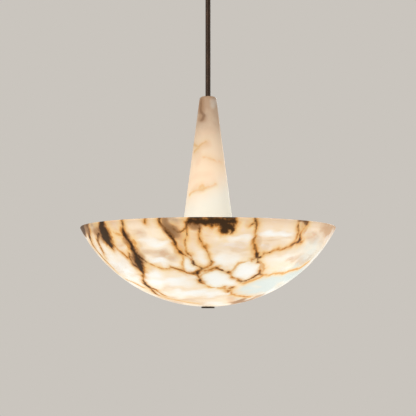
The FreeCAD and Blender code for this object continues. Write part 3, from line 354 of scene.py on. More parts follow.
# Paler lines, amber with no dark heart.
BOWL_AMBER_LINES = {
    "left_outline": [(107, 262, 3), (112, 267.2, 3), (118, 273.4, 2)],
    "bottom_left": [
        (125.6, 279.2, 1.6), (130, 281, 3.4), (134, 282.6, 5), (138, 284.6, 5.4), (141, 286.6, 4),
        (144.4, 287.6, 2),
    ],
    "bright_cell": [(182.4, 254.6, 1.8), (183.3, 259, 1.8), (183, 264.5, 1.8), (184, 270.6, 1.6)],
    "white_left_bottom": [
        (203.5, 283.7, 2), (207, 286, 2.4), (212, 287.5, 1.8), (218, 288, 1.8), (223.6, 287.6, 2.2),
    ],
    "white_left_side": [(199.5, 277, 2), (203.6, 274, 1.6), (208.6, 271.4, 1.4), (214, 270, 1.4)],
    "white_left_right": [(229.6, 272.9, 1.8), (231.8, 277.1, 1.8)],
    "white_right_top": [
        (229.6, 272.3, 2), (233, 269.8, 2.2), (236.6, 266, 1.8), (238.6, 263.4, 2.6), (243, 262, 2.4),
        (248, 261, 2), (251.5, 260.3, 2.6),
    ],
    "white_right_side": [(258.8, 262, 3), (260, 265, 2), (260.4, 269, 2)],
    "right_smear": [(261, 262.6, 3), (262.6, 265.6, 4), (264.6, 268.6, 3), (262.6, 271, 2)],
    "under_right": [(262, 276.4, 2.6), (257, 278.4, 3), (250, 281.2, 3), (244, 283.4, 4)],
    "cool_top": [
        (262.6, 275, 3.4), (266.4, 275.6, 2.6), (270.6, 275, 3), (274, 273.4, 4), (279, 273.2, 3.4),
        (283.4, 273.6, 2.2), (288.2, 271.4, 4), (292.6, 270, 3), (296.6, 269, 3.4), (300.6, 267.8, 3),
        (304.6, 264.6, 3), (309, 261.4, 3.4),
    ],
    "tan_left": [(114.6, 232.6, 1.8), (118, 234.4, 2.8), (121, 235.2, 1.8)],
    "bottom": [
        (164, 297, 2), (168, 298.6, 3), (173, 299.4, 3), (179, 300.6, 2.4), (188, 302.2, 2),
        (197, 303.4, 1.6),
    ],
    "blotch_side": [(105.4, 224, 3), (108, 229, 4), (110.2, 234, 4), (112.2, 239, 3)],
    "main_left": [
        (121, 228, 3), (121.8, 232.4, 4), (125.4, 240, 4), (127.6, 244, 5), (129.6, 248, 4),
        (131.4, 252, 3),
    ],
    "main_right": [(134, 240.6, 3), (134.6, 244, 4), (136.4, 249, 3)],
    "middle_foot": [(142.6, 263, 5), (144, 264.4, 4)],
    "net_patch": [(132.4, 259.6, 5), (133.4, 262, 4)],
}

# Clouds of each kind: centre across and down, half width, half height, tilt in degrees, strength.
BOWL_CLOUDS = {
    "white": [
        (116, 259, 25, 7, 47, 0.75), (132, 277, 13, 5, 42, 0.9), (156, 242, 18, 3, 3, 0.9),
        (160, 261.5, 17, 3, 10, 0.95), (153, 279, 12, 7, 8, 0.9), (178, 282, 22, 4, 3, 0.8),
        (189, 265.5, 6, 8, 0, 1.5), (202, 257, 6, 7, 20, 0.6), (217.5, 278, 18, 8.5, 6, 1.7),
        (211, 269.6, 5, 1.8, -8, 0.8), (246, 270, 15, 9, -20, 1.7), (226, 261.5, 14, 6, 0, 1.0),
        (236, 237.6, 18, 2.4, 0, 0.8), (275, 234.4, 17, 2.2, 1, 0.9), (195, 293.4, 34, 2.4, 0, 0.7),
        (280, 258, 16, 3, -6, 0.4), (228, 293.8, 3, 1.8, 0, 0.9), (327.4, 241, 14, 1.0, -59, 0.5),
        (314, 258, 11, 1.3, -48, 0.9), (301, 271.4, 10, 1.2, -42, 0.9), (287, 282, 9, 1.1, -34, 0.9),
        (274, 290, 9, 1.1, -28, 0.9),
    ],
    "cool": [
        (262, 284.5, 24, 8, -22, 1.2), (288, 275.5, 17, 5, -27, 1.3), (311, 251, 15, 7, -52, 0.5),
        (300, 249, 12, 5, -12, 0.35),
    ],
    "smoke": [
        (149, 251, 13, 3, 6, 0.65), (165, 255, 12, 4, 8, 0.75), (139.5, 237, 6, 8, -18, 0.4),
        (228, 246, 20, 4.5, 2, 0.45), (240, 250.4, 10, 2, -3, 0.7), (219, 243, 4, 1.6, -20, 0.6),
        (258, 240.6, 3.4, 4.6, 0, 0.75), (264.6, 248, 7, 4, -30, 0.6), (276, 243.5, 14, 3, 0, 0.35),
        (314.5, 237, 8, 6, 30, 0.75), (296, 258.6, 8, 2.4, -25, 0.8), (300, 264.4, 8, 3, -38, 0.7),
        (306.6, 263, 7, 2.2, -48, 0.9), (330.5, 230, 9, 10, 20, 0.9), (114, 267, 6, 4, 40, 0.25),
        (136, 247, 4, 9, -30, 0.7),
    ],
    "soot": [
        (81.5, 229, 5.5, 7.5, -8, 1.25), (169.4, 228, 12, 5.4, 50, 0.75), (163.6, 222.4, 5, 3.4, 42, 0.6),
        (302, 221.5, 5, 1.8, 4, 0.9), (194.6, 225, 8, 4, 0, 0.6), (175.4, 231, 5, 3, 40, 0.5),
        (101, 232, 5, 8, -15, 0.6), (137.6, 260, 7, 8, -25, 0.55), (127, 238.5, 5, 5, -25, 0.4),
        (243, 301, 13, 2.4, -12, 0.6), (257, 297, 9, 1.6, -16, 0.4),
    ],
    "grey": [(93.4, 226, 5.5, 5.5, 0, 1.0), (92, 222.5, 9, 2.4, 0, 0.6), (170, 219.6, 11, 3.4, 0, 0.95)],
    "tan": [
        (173.4, 225.5, 6, 6, 20, 1.0), (180.4, 226.4, 5.4, 4.6, -20, 0.55),
        (180.4, 236.6, 6.4, 5.4, 0, 1.7), (180.6, 246, 5.4, 8, 20, 1.3), (192, 238, 7, 13, 0, 0.35),
        (189.6, 257.4, 4, 2.6, 40, 1.0), (115, 235, 8, 14, -25, 0.6), (94, 233.5, 4, 4, 0, 0.5),
        (133.4, 259.4, 2.6, 4, -20, 1.4), (147, 269, 6, 5, 20, 0.4), (228, 289.3, 3.4, 3, 0, 2.2),
        (303, 226.4, 3.4, 5.4, 10, 1.3), (239, 299.4, 11, 3.6, -8, 0.7), (246, 298, 7, 2, -10, 0.7),
        (206.6, 231, 6, 7, 0, 0.3), (215, 226, 6, 2.4, 0, 0.5), (180, 300.5, 24, 2.4, 6, 0.45),
        (254, 246, 3.4, 6, 0, 0.9), (250, 224, 4, 3, 0, 0.4), (243.6, 283.4, 2.4, 2, 0, 1.0),
        (206, 250, 4, 8, -15, 0.3), (286, 251, 16, 3, -12, 0.35),
    ],
}

CONE_VEINS = {
    "crown": [
        (201.6, 99, 0.8), (200.9, 103, 2.4), (200.4, 108, 3.4), (201, 112, 2.4), (203, 114.2, 2.6),
        (204.4, 115.8, 3.6), (203.6, 118.4, 3), (201, 121, 1.6),
    ],
}
CONE_AMBER_LINES = {
    "upper_arc": [
        (193.4, 143.4, 3), (196, 146, 3.4), (199.4, 146.2, 2.4), (202.4, 144.4, 3), (205, 142.4, 2),
    ],
    "upper_foot": [(194.4, 152, 2.4), (197.4, 149, 3), (200, 147, 2)],
    "middle": [
        (203, 157.4, 0), (206.4, 157.4, 0.4), (212.1, 159.6, 0), (216, 161.6, 0.8), (222, 162.4, 0.2),
    ],
    "lower": [
        (189.6, 194.6, 2.6), (193, 191.6, 2.2), (197.6, 189.8, 2.6), (203, 189, 4.4), (207.5, 187.6, 2.6),
        (212.1, 185.4, 2.2), (215.8, 184, 2),
    ],
    "lower_swelling": [(198.6, 187.6, 2), (202, 185.6, 4), (204.4, 188, 4)],
}
CONE_CLOUDS = {
    "white": [(213.3, 103, 3, 4.5, 0, 0.4)],
    "tan": [
        (203, 146.4, 7, 5, -20, 0.22), (197, 156, 4, 7, 0, 0.2), (202, 178, 12, 5, -8, 0.1),
        (203, 187.6, 10, 4, -12, 0.2),
    ],
    "soot": [(201.5, 107, 4, 9, 0, 0.3), (202.5, 118, 4, 5, 0, 0.3)],
    "grey": [(200, 124, 6, 5, 0, 0.2)],
}
CLOUD_KINDS = ("white", "cool", "smoke", "soot", "grey", "tan")

# -------------------------------- patterns on the stone

# Millimetres: the gap where no vein is near, what hides the grown veins from the camera, and what opens
# a missing edge.
FAR_AWAY = 60.0
OUT_OF_SIGHT = 40.0
NO_EDGE = 9.0

# From where a surface counts as turned away from the camera, to where it counts as facing it.
FACING_FADE = (-0.02, 0.08)
CONE_FACING_FADE = (-0.1, 0.15)

# Where a cloud has faded out, as the squared distance in half sizes.
CLOUD_FADE = 2.4

# Where along a ray the cone is looked for, and in how many steps.
RAY_SPAN = (CAMERA_DISTANCE - 1.2 * CONE_BASE_RADIUS, 1.03 * CAMERA_DISTANCE)
RAY_STEPS = 500

# Random bends of the patterns, each a sum of waves: their mean length, and how far they shift a point.
WAVES = 7
WAVE_SPREAD = (0.7, 1.5)
TRACE_BEND = (15 * MM, 0.9 * MM)
CLOUD_BEND = (34 * MM, 2.5 * MM)
CELL_BROAD_BEND = (130 * MM, 14 * MM)
CELL_FINE_BEND = (34 * MM, 3.5 * MM)
SWELL_BEND = (60 * MM, 4.0)
TRACE_SEED = 12
CLOUD_SEED = 31

# The grown cells, wider than they are high. A vein's half width is in millimetres: the least, and what a
# swelling adds.
CELL_SEED = 7420
CELL_COUNT = 92
CELL_SQUASH = np.array([1.0, 1.0, 1.55])
CELL_BLEND = 38 * MM
TINY = 1e-12
CELLS_UP_TO = 1.05 * BOWL_DEPTH
MISSING_EDGES = 0.3
THICK_EDGES = 0.22
THIN_HALF = (0.3, 1.4)
THICK_HALF = (1.0, 4.5)

# Clouds of the grown cells: kind, how rare strong ones are, and the greatest strength.
GROWN_CLOUDS = (
    ("white", 1.0, 1.2),
    ("cool", 3.0, 1.0),
    ("smoke", 2.0, 0.8),
    ("tan", 2.5, 0.9),
    ("grey", 4.0, 0.6),
    ("soot", 8.0, 0.6),
)

# The lamps' light in the bowl: how it falls off, how the outer face fades just under the rim, and how
# much the inner face is dimmed.
LAMP_SPREAD = 90 * MM
LAMP_NEAREST = 60 * MM
LEAST_FACING = 0.05
LIT_PERCENTILE = 90
LIGHT_FALL = 0.6
DIMMEST = 0.5
OUTER_FACE = (SPHERE - 6 * MM, SPHERE - 1 * MM)
RIM_SHADE = 0.5
RIM_SHADE_REACH = 9.0
INNER_SHADE = 0.5

# Heights over the cone's wide end: fully lit to unlit, and palest (painted light) to no longer pale.
CONE_LIT = (95 * MM, 262 * MM)
CONE_LIGHT_FALL = 0.8
CONE_PALE = (48.8 * MM, 122 * MM)
CONE_PALE_SLANT = 0.5


def smoothstep(low, high, value):
    t = np.clip((value - low) / (high - low), 0, 1)
    return t * t * (3 - 2 * t)


def on_bowl(across, down):
    """The bowl's outer surface under a point of the photograph, or the nearest the ray comes to it."""
    ray = ray_through(across, down)
    to_centre = SPHERE_CENTRE - CAMERA_PLACE
    middle = to_centre @ ray
    under_root = SPHERE**2 - (to_centre @ to_centre - middle**2)
    point = CAMERA_PLACE + ray * (middle - math.sqrt(max(under_root, 0.0)))
    return SPHERE_CENTRE + (point - SPHERE_CENTRE) / np.linalg.norm(point - SPHERE_CENTRE) * SPHERE


def on_cone(across, down):
    """The cone's near surface under a point of the photograph, or the nearest the ray comes to it."""
    ray = ray_through(across, down)
    depths = np.linspace(*RAY_SPAN, RAY_STEPS)
    points = CAMERA_PLACE + depths[:, None] * ray
    radii = CONE_TOP_RADIUS + CONE_TAPER * (cone_high.z - points[:, 2])
    outside = np.hypot(points[:, 0], points[:, 1]) - radii
    inside = np.flatnonzero(outside < 0)
    return points[inside[0] if len(inside) else int(np.argmin(outside))]


def gap_to_veins(points, veins, cast):
    """Millimetres from each point to the nearest vein's edge, and that vein's half width there."""
    nearest = np.full(len(points), FAR_AWAY)
    half_there = np.zeros(len(points))
    for route in veins.values():
        places = [cast(across, down) for across, down, _ in route]
        halves = [width / 2 for _, _, width in route]
        for start, end, start_half, end_half in zip(places, places[1:], halves, halves[1:]):
            along = end - start
            share = np.clip((points - start) @ along / (along @ along), 0, 1)
            distance = np.linalg.norm(points - start - share[:, None] * along, axis=1) / MM
            half = start_half + (end_half - start_half) * share
            gap = distance - half
            closer = gap < nearest
            nearest = np.where(closer, gap, nearest)
            half_there = np.where(closer, half, half_there)
    return nearest, half_there


def cloud(points, facing, clouds):
    """How strongly clouds of one kind show at each point of the side that faces the camera."""
    rng = np.random.default_rng(CLOUD_SEED)
    across, down = seen_at(points + wander(points, rng, *CLOUD_BEND))
    total = np.zeros(len(points))
    for x, y, half_width, half_height, tilt, strength in clouds:
        turn = math.radians(tilt)
        u = (across - x) * math.cos(turn) + (down - y) * math.sin(turn)
        v = (down - y) * math.cos(turn) - (across - x) * math.sin(turn)
        reach = (u / half_width) ** 2 + (v / half_height) ** 2
        total = np.maximum(total, strength * (1 - smoothstep(0.0, CLOUD_FADE, reach)))
    return total * facing


def wander(points, rng, wavelength, amount):
    """A smooth random shift of each point, for patterns that shouldn't look ruled."""
    shift = np.zeros_like(points)
    for _ in range(WAVES):
        direction = rng.normal(size=3)
        direction *= math.tau / (wavelength * rng.uniform(*WAVE_SPREAD) * np.linalg.norm(direction))
        push = rng.normal(size=3)
        push *= amount / math.sqrt(WAVES) / np.linalg.norm(push) * math.sqrt(3)
        shift += np.sin(points @ direction + rng.uniform(0, math.tau))[:, None] * push
    return shift


def grown_cells(points):
    """A grown network of veins: the gap to the nearest one and its half width there, in millimetres, and
    how strongly each kind of cloud shows, which changes from cell to cell.
    """
    rng = np.random.default_rng(CELL_SEED)
    up = rng.uniform(0, CELLS_UP_TO, CELL_COUNT)
    around = rng.uniform(0, math.tau, CELL_COUNT)
    r = np.sqrt(np.maximum(SPHERE**2 - (SPHERE - up) ** 2, 0))
    seeds = SPHERE_CENTRE + np.stack([r * np.cos(around), r * np.sin(around), up - SPHERE], axis=1)
    moved = points + wander(points, rng, *CELL_BROAD_BEND) + wander(points, rng, *CELL_FINE_BEND)
    moved = moved * CELL_SQUASH
    seeds = seeds * CELL_SQUASH
    squares = ((moved[:, None, :] - seeds[None, :, :]) ** 2).sum(axis=2)
    order = np.argsort(squares, axis=1)[:, :2]
    owner, neighbour = order[:, 0], order[:, 1]
    rows = np.arange(len(points))
    first, second = squares[rows, owner], squares[rows, neighbour]
    between = np.linalg.norm(seeds[owner] - seeds[neighbour], axis=1)
    gap = (second - first) / (2 * between) / MM
    pair = np.minimum(owner, neighbour) * CELL_COUNT + np.maximum(owner, neighbour)
    chance = rng.uniform(size=CELL_COUNT**2)[pair]
    swell = 0.5 + 0.5 * np.sin(wander(points, rng, *SWELL_BEND)[:, 0])
    thin = THIN_HALF[0] + THIN_HALF[1] * swell**3
    thick = THICK_HALF[0] + THICK_HALF[1] * swell**2
    half = np.where(chance > 1 - THICK_EDGES, thick, thin)
    gap = gap - half + np.where(chance < MISSING_EDGES, NO_EDGE, 0.0)
    share = np.exp(-squares / CELL_BLEND**2)
    share /= share.sum(axis=1, keepdims=True) + TINY
    tones = {}
    for kind, rarity, strength in GROWN_CLOUDS:
        tones[kind] = share @ (rng.uniform(size=CELL_COUNT) ** rarity * strength)
    return gap, half, tones


def lamp_light(points, outward):
    """How strongly the lamps light the stone at each point, against each other and in no unit."""
    total = np.zeros(len(points))
    for number in (1, 2, 3):
        low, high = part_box(f"bulb_globe_{number}")
        lamp = np.array((low + high) / 2)
        away = points - lamp
        distance = np.linalg.norm(away, axis=1)
        facing = np.clip((away * outward).sum(axis=1) / distance, LEAST_FACING, 1)
        total += facing * (LAMP_SPREAD / np.maximum(distance, LAMP_NEAREST)) ** 2
    return total


def store(piece, name, values):
    layer = piece.data.attributes.new(name, "FLOAT", "POINT")
    layer.data.foreach_set("value", np.asarray(values, np.float32))


def points_of(piece):
    flat = np.zeros(len(piece.data.vertices) * 3, np.float32)
    piece.data.vertices.foreach_get("co", flat)
    return flat.reshape(-1, 3).astype(float)


def make_bowl():
    piece = lathe("stone_bowl", bowl_profile())
    points = points_of(piece)
    outward = (points - SPHERE_CENTRE) / np.linalg.norm(points - SPHERE_CENTRE, axis=1, keepdims=True)
    shell = SPHERE_CENTRE + outward * SPHERE
    toward = CAMERA_PLACE - shell
    toward /= np.linalg.norm(toward, axis=1, keepdims=True)
    facing = smoothstep(*FACING_FADE, (outward * toward).sum(axis=1))
    rng = np.random.default_rng(TRACE_SEED)
    moved = shell + wander(shell, rng, *TRACE_BEND)
    traced, traced_half = gap_to_veins(moved, BOWL_VEINS, on_bowl)
    grown, grown_half, tones = grown_cells(shell)
    grown = grown + facing * OUT_OF_SIGHT
    store(piece, "vein_gap", np.minimum(traced, grown))
    store(piece, "vein_half", np.where(traced < grown, traced_half, grown_half))
    store(piece, "amber_gap", gap_to_veins(moved, BOWL_AMBER_LINES, on_bowl)[0])
    for kind in CLOUD_KINDS:
        store(piece, kind, cloud(shell, facing, BOWL_CLOUDS[kind]) + tones[kind] * (1 - facing))
    light = lamp_light(shell, outward)
    light = np.clip(light / np.percentile(light, LIT_PERCENTILE), 0, 1) ** LIGHT_FALL
    light = DIMMEST + (1 - DIMMEST) * light
    below_rim = (RIM_Z - points[:, 2]) / MM
    outside = smoothstep(*OUTER_FACE, np.linalg.norm(points - SPHERE_CENTRE, axis=1))
    light *= 1 - RIM_SHADE * outside * np.exp(-np.maximum(below_rim, 0) / RIM_SHADE_REACH)
    light *= 1 - INNER_SHADE * (1 - outside)
    store(piece, "light", light)
    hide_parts("bowl")
    return piece


def make_cone():
    piece = lathe("stone_cone", cone_profile())
    points = points_of(piece)
    facing = smoothstep(*CONE_FACING_FADE, -points[:, 1] / np.hypot(points[:, 0], points[:, 1]))
    rng = np.random.default_rng(TRACE_SEED)
    moved = points + wander(points, rng, *TRACE_BEND)
    gap, half = gap_to_veins(moved, CONE_VEINS, on_cone)
    store(piece, "vein_gap", gap)
    store(piece, "vein_half", half)
    store(piece, "amber_gap", gap_to_veins(moved, CONE_AMBER_LINES, on_cone)[0])
    for kind in CLOUD_KINDS:
        store(piece, kind, cloud(points, facing, CONE_CLOUDS.get(kind, [])))
    height = points[:, 2] - cone_low.z
    store(piece, "light", (1 - smoothstep(*CONE_LIT, height)) ** CONE_LIGHT_FALL)
    # Painted light: the pale wide end, nearest the lamps, reaches higher on the +X side.
    slanted = height - CONE_PALE_SLANT * points[:, 0]
    store(piece, "low", 1 - smoothstep(*CONE_PALE, slanted))
    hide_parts("cone")
    return piece


# -------------------------------- material helpers

def colour(red, green, blue):
    """Linear colour from the 0 to 255 values it should show as."""
    channels = []
    for value in (red, green, blue):
        value /= 255
        channels.append(value / 12.92 if value <= 0.04045 else ((value + 0.055) / 1.055) ** 2.4)
    return (*channels, 1.0)


class Paint:
    """Builds one material's nodes. Values are sockets or plain numbers."""

    def __init__(self, name):
        self.material = bpy.data.materials.new(name)
        self.material.use_nodes = True
        self.nodes = self.material.node_tree.nodes
        self.links = self.material.node_tree.links
        self.shader = self.nodes["Principled BSDF"]
        self.place = self.nodes.new("ShaderNodeTexCoord").outputs["Object"]

    def feed(self, socket, value):
        if isinstance(value, bpy.types.NodeSocket):
            self.links.new(value, socket)
        else:
            socket.default_value = value

    def math(self, operation, first, second=0.0, third=0.0, clamp=False):
        node = self.nodes.new("ShaderNodeMath")
        node.operation = operation
        node.use_clamp = clamp
        self.feed(node.inputs[0], first)
        self.feed(node.inputs[1], second)
        self.feed(node.inputs[2], third)
        return node.outputs[0]

    def attribute(self, name):
        node = self.nodes.new("ShaderNodeAttribute")
        node.attribute_name = name
        return node.outputs["Fac"]

    def noise(self, scale, detail, roughness, stretch=(1, 1, 1), distortion=0.0, offset=(0, 0, 0)):
        mapping = self.nodes.new("ShaderNodeMapping")
        mapping.inputs["Scale"].default_value = stretch
        mapping.inputs["Location"].default_value = offset
        self.links.new(self.place, mapping.inputs["Vector"])
        node = self.nodes.new("ShaderNodeTexNoise")
        self.links.new(mapping.outputs[0], node.inputs["Vector"])
        node.inputs["Scale"].default_value = scale
        node.inputs["Detail"].default_value = detail
        node.inputs["Roughness"].default_value = roughness
        node.inputs["Distortion"].default_value = distortion
        return node.outputs["Fac"]

    def ramp(self, value, low, high, start=0.0, end=1.0, smooth=True):
        node = self.nodes.new("ShaderNodeMapRange")
        node.interpolation_type = "SMOOTHSTEP" if smooth else "LINEAR"
        self.feed(node.inputs["Value"], value)
        self.feed(node.inputs["From Min"], low)
        self.feed(node.inputs["From Max"], high)
        self.feed(node.inputs["To Min"], start)
        self.feed(node.inputs["To Max"], end)
        return node.outputs["Result"]

    def mix(self, share, first, second):
        # A mix node's colour sockets are its seventh and eighth inputs and its third output.
        node = self.nodes.new("ShaderNodeMix")
        node.data_type = "RGBA"
        self.feed(node.inputs["Factor"], share)
        self.feed(node.inputs[6], first)
        self.feed(node.inputs[7], second)
        return node.outputs[2]

    def bump(self, height, depth, strength):
        node = self.nodes.new("ShaderNodeBump")
        node.inputs["Strength"].default_value = strength
        node.inputs["Distance"].default_value = depth
        self.links.new(height, node.inputs["Height"])
        self.links.new(node.outputs[0], self.shader.inputs["Normal"])

    def set(self, **values):
        for name, value in values.items():
            self.feed(self.shader.inputs[name.replace("_", " ")], value)


# -------------------------------- the stone

CREAM = colour(255, 231, 199)
PALE_CREAM = colour(255, 243, 222)
WHITE_STONE = colour(255, 255, 250)
COOL_STONE = colour(218, 226, 220)
SMOKE = colour(208, 166, 126)
SOOT = colour(84, 56, 32)
THIN_SOOT = colour(186, 140, 98)
GREY_STONE = colour(182, 154, 130)
TAN = colour(204, 140, 76)
GOLD = colour(252, 204, 132)
PALE_GOLD = colour(255, 240, 194)
AMBER = colour(212, 142, 64)
BROWN_VEIN = colour(122, 78, 38)
DARK_VEIN = colour(62, 42, 22)
# Painted shade: the darker, warmer stone laid where the lamps light the bowl less.
PAINTED_SHADE_STONE = colour(250, 216, 182)
# Painted shade: the cone's colour where the lamps' light doesn't reach.
CONE_UNLIT_SHADE = colour(208, 174, 145)
CONE_MID_STONE = colour(248, 225, 198)
# Painted light: the paler, cooler stone at the cone's wide end, nearest the lamps.
CONE_LAMP_LIT_PALE = colour(232, 236, 228)
CONE_LINE = colour(218, 176, 96)
CONE_SMUDGE = colour(146, 110, 82)

# How far a vein's stain reaches into the stone around it, in millimetres. Gold reaches further beside a
# wider vein.
GOLD_REACH = (3.0, 6.5)
REACH_BY_WIDTH = 0.4
AMBER_REACH = 3.6

# How much softer a vein's edge is for each millimetre of its half width.
SOFTER_BY_WIDTH = 0.12

# How strong an edge's broad bulges are beside its fine raggedness: at least, and as the vein widens.
BULGE_BASE = 0.8
BULGE_GROWTH = 0.6

BOWL_GLOW = 0.73
BOWL_ROUGHNESS = 0.42
CONE_GLOW = 0.34
CONE_ROUGHNESS = 0.5
STONE_SHINE = 0.18
STONE_RELIEF = 0.08 * MM


def fading(paint, gap, reach):
    """1 at a vein's edge, and less with distance from it."""
    outside = paint.math("MAXIMUM", gap, 0.0)
    return paint.math("EXPONENT", paint.math("DIVIDE", paint.math("MULTIPLY", outside, -1.0), reach))


def stain(paint, body, tint, gap, reach, most):
    """Lays a tint over the stone, strongest at a vein's edge."""
    return paint.mix(paint.math("MULTIPLY", fading(paint, gap, reach), most), body, tint)


def unevenness(paint):
    """Broad and fine noise around zero, for edges that shouldn't look drawn."""
    broad = paint.math("SUBTRACT", paint.noise(45, 3, 0.55), 0.5)
    fine = paint.math("SUBTRACT", paint.noise(120, 4, 0.6, offset=(3, 1, 2)), 0.5)
    return broad, fine


def uneven(paint, attribute, broad, fine, base, growth):
    """A stored gap with a ragged edge, more ragged along the wider veins."""
    half = paint.attribute("vein_half")
    ragged = paint.math("MULTIPLY", fine, paint.math("MULTIPLY_ADD", half, growth, base))
    bulge = paint.math("MULTIPLY_ADD", half, growth * BULGE_GROWTH, base * BULGE_BASE)
    bulging = paint.math("MULTIPLY", broad, bulge)
    return paint.math("ADD", paint.attribute(attribute), paint.math("ADD", ragged, bulging))


def clouded(paint, body):
    """Lays the placed clouds over the stone's body, drawn out along the level."""
    streaks = paint.noise(30, 5, 0.6, stretch=(1, 1, 2.6), distortion=0.3, offset=(1, 8, 4))
    streaky = paint.ramp(streaks, 0.3, 0.7, 0.55, 1.3)
    for kind, tint, most in (
        ("tan", TAN, 0.8),
        ("smoke", SMOKE, 0.85),
        ("white", WHITE_STONE, 1.0),
        ("cool", COOL_STONE, 1.0),
        ("grey", GREY_STONE, 0.9),
    ):
        share = paint.math("MULTIPLY", paint.attribute(kind), streaky, clamp=True)
        body = paint.mix(paint.math("MULTIPLY", share, most), body, tint)
    return body


def sooted(paint, body):
    """Smoky brown stains: tan where they are thin, dark brown where they are thick."""
    soot = paint.attribute("soot")
    body = paint.mix(paint.ramp(soot, 0.0, 0.55, 0.0, 0.85), body, THIN_SOOT)
    return paint.mix(paint.ramp(soot, 0.3, 1.15, 0.0, 0.95), body, SOOT)


def finish_stone(paint, body, light, glow, roughness, fine, gap):
    paint.set(Base_Color=body, Emission_Color=body, Roughness=roughness)
    paint.set(Emission_Strength=paint.math("MULTIPLY", light, glow))
    paint.set(Specular_IOR_Level=STONE_SHINE)
    pits = paint.math("ADD", paint.ramp(gap, 1.2, -0.6, 1.0, 0.0), paint.math("MULTIPLY", fine, 0.25))
    paint.bump(pits, STONE_RELIEF, 0.3)
    return paint.material


def bowl_stone():
    """Cream stone with painted shade where the lamps light it less, dimmer towards the rim, with pale
    level streaks, gold stains and dark brown veins.
    """
    paint = Paint("bowl_alabaster")
    light = paint.attribute("light")
    broad, fine = unevenness(paint)
    gap = uneven(paint, "vein_gap", broad, fine, base=6.0, growth=0.7)
    amber_gap = uneven(paint, "amber_gap", broad, fine, base=6.0, growth=0.4)

    streaks = paint.noise(7, 5, 0.6, stretch=(1.4, 1.4, 9), distortion=0.4)
    clouds = paint.noise(16, 5, 0.6, offset=(5, 2, 7))
    body = paint.mix(paint.ramp(clouds, 0.35, 0.68), CREAM, PALE_CREAM)
    body = paint.mix(paint.ramp(streaks, 0.5, 0.72, 0.0, 0.45), body, SMOKE)
    body = paint.mix(paint.ramp(streaks, 0.48, 0.3, 0.0, 0.7), body, WHITE_STONE)
    # Painted shade: the stone's colour turns darker and warmer where the lamps' light is weaker.
    body = paint.mix(paint.ramp(light, 0.75, 0.4, 0.0, 0.75), body, PAINTED_SHADE_STONE)
    body = clouded(paint, body)

    reach = paint.ramp(paint.noise(26, 3, 0.5, offset=(9, 4, 1)), 0.32, 0.68, *GOLD_REACH, smooth=False)
    reach = paint.math("MULTIPLY_ADD", paint.attribute("vein_half"), REACH_BY_WIDTH, reach)
    clear = paint.math("MULTIPLY_ADD", paint.attribute("white"), -0.7, 1.0, clamp=True)
    stained = paint.ramp(paint.noise(22, 4, 0.6, offset=(2, 7, 7)), 0.36, 0.6, 0.45, 0.95)
    for distance, spread, most in ((gap, reach, 0.9), (amber_gap, 4.0, 0.85)):
        golden = paint.math("MULTIPLY", fading(paint, distance, spread), most)
        body = paint.mix(golden, body, PALE_GOLD)
        body = paint.mix(paint.math("MULTIPLY", golden, clear), body, GOLD)
    body = stain(paint, body, AMBER, amber_gap, reach=1.6, most=0.6)
    body = stain(paint, body, AMBER, gap, reach=AMBER_REACH, most=stained)
    body = sooted(paint, body)
    softness = paint.math("MULTIPLY_ADD", paint.attribute("vein_half"), SOFTER_BY_WIDTH, 1.0)
    depth = paint.math("DIVIDE", gap, softness)
    body = paint.mix(paint.ramp(depth, 0.9, -2.2), body, BROWN_VEIN)
    body = paint.mix(paint.ramp(depth, -1.0, -3.2), body, DARK_VEIN)
    return finish_stone(paint, body, light, BOWL_GLOW, BOWL_ROUGHNESS, fine, gap)


def cone_stone():
    """Painted light and shade: greyish tan where no light reaches, warm below that and painted paler at
    the wide end nearest the lamps, with faint lines.
    """
    paint = Paint("cone_alabaster")
    light = paint.attribute("light")
    broad, fine = unevenness(paint)
    gap = uneven(paint, "vein_gap", broad, fine, base=3.2, growth=0.6)
    amber_gap = uneven(paint, "amber_gap", broad, fine, base=5.0, growth=0.4)

    clouds = paint.noise(16, 5, 0.6, offset=(5, 2, 7))
    # Painted shade and light: greyish tan where the cone is unlit, warm where the lamps light it.
    unlit = paint.mix(paint.ramp(clouds, 0.35, 0.7, 0.0, 0.35), CONE_UNLIT_SHADE, CONE_MID_STONE)
    body = paint.mix(paint.ramp(light, 0.0, 0.6), unlit, CONE_MID_STONE)
    body = paint.mix(paint.ramp(clouds, 0.42, 0.75, 0.0, 0.3), body, PALE_CREAM)
    # Painted light: the wide end, nearest the lamps, turns paler and cooler.
    body = paint.mix(paint.math("MULTIPLY", paint.attribute("low"), 0.9), body, CONE_LAMP_LIT_PALE)
    body = clouded(paint, body)
    body = sooted(paint, body)
    body = stain(paint, body, CONE_LINE, amber_gap, reach=5.0, most=0.35)
    body = paint.mix(paint.ramp(amber_gap, 2.4, -1.6, 0.0, 0.45), body, CONE_LINE)
    body = stain(paint, body, CONE_SMUDGE, gap, reach=4.0, most=0.4)
    body = paint.mix(paint.ramp(gap, 2.4, -1.4, 0.0, 0.6), body, CONE_SMUDGE)
    return finish_stone(paint, body, light, CONE_GLOW, CONE_ROUGHNESS, fine, gap)


# -------------------------------- metal, glass and plastic

GRAIN_RELIEF = 0.02 * MM
SKIN_RELIEF = 0.03 * MM
BULB_GLOW = 0.62
CORE_EDGE = (0.9 * MM, 1.1 * MM)


def metal(name, tint, worn, roughness, metallic, grain=260, stretch=(1, 1, 1)):
    """Painted or plated metal with a fine grain and slightly worn patches."""
    paint = Paint(name)
    patches = paint.noise(55, 6, 0.6, offset=(2, 6, 3))
    fine = paint.noise(grain, 4, 0.6, stretch=stretch)
    shade = paint.mix(paint.ramp(patches, 0.4, 0.75, 0.0, 0.6), tint, worn)
    paint.set(Base_Color=shade, Metallic=metallic)
    paint.set(Roughness=paint.ramp(fine, 0.2, 0.8, roughness - 0.07, roughness + 0.09, smooth=False))
    paint.bump(fine, GRAIN_RELIEF, 0.35)
    return paint.material


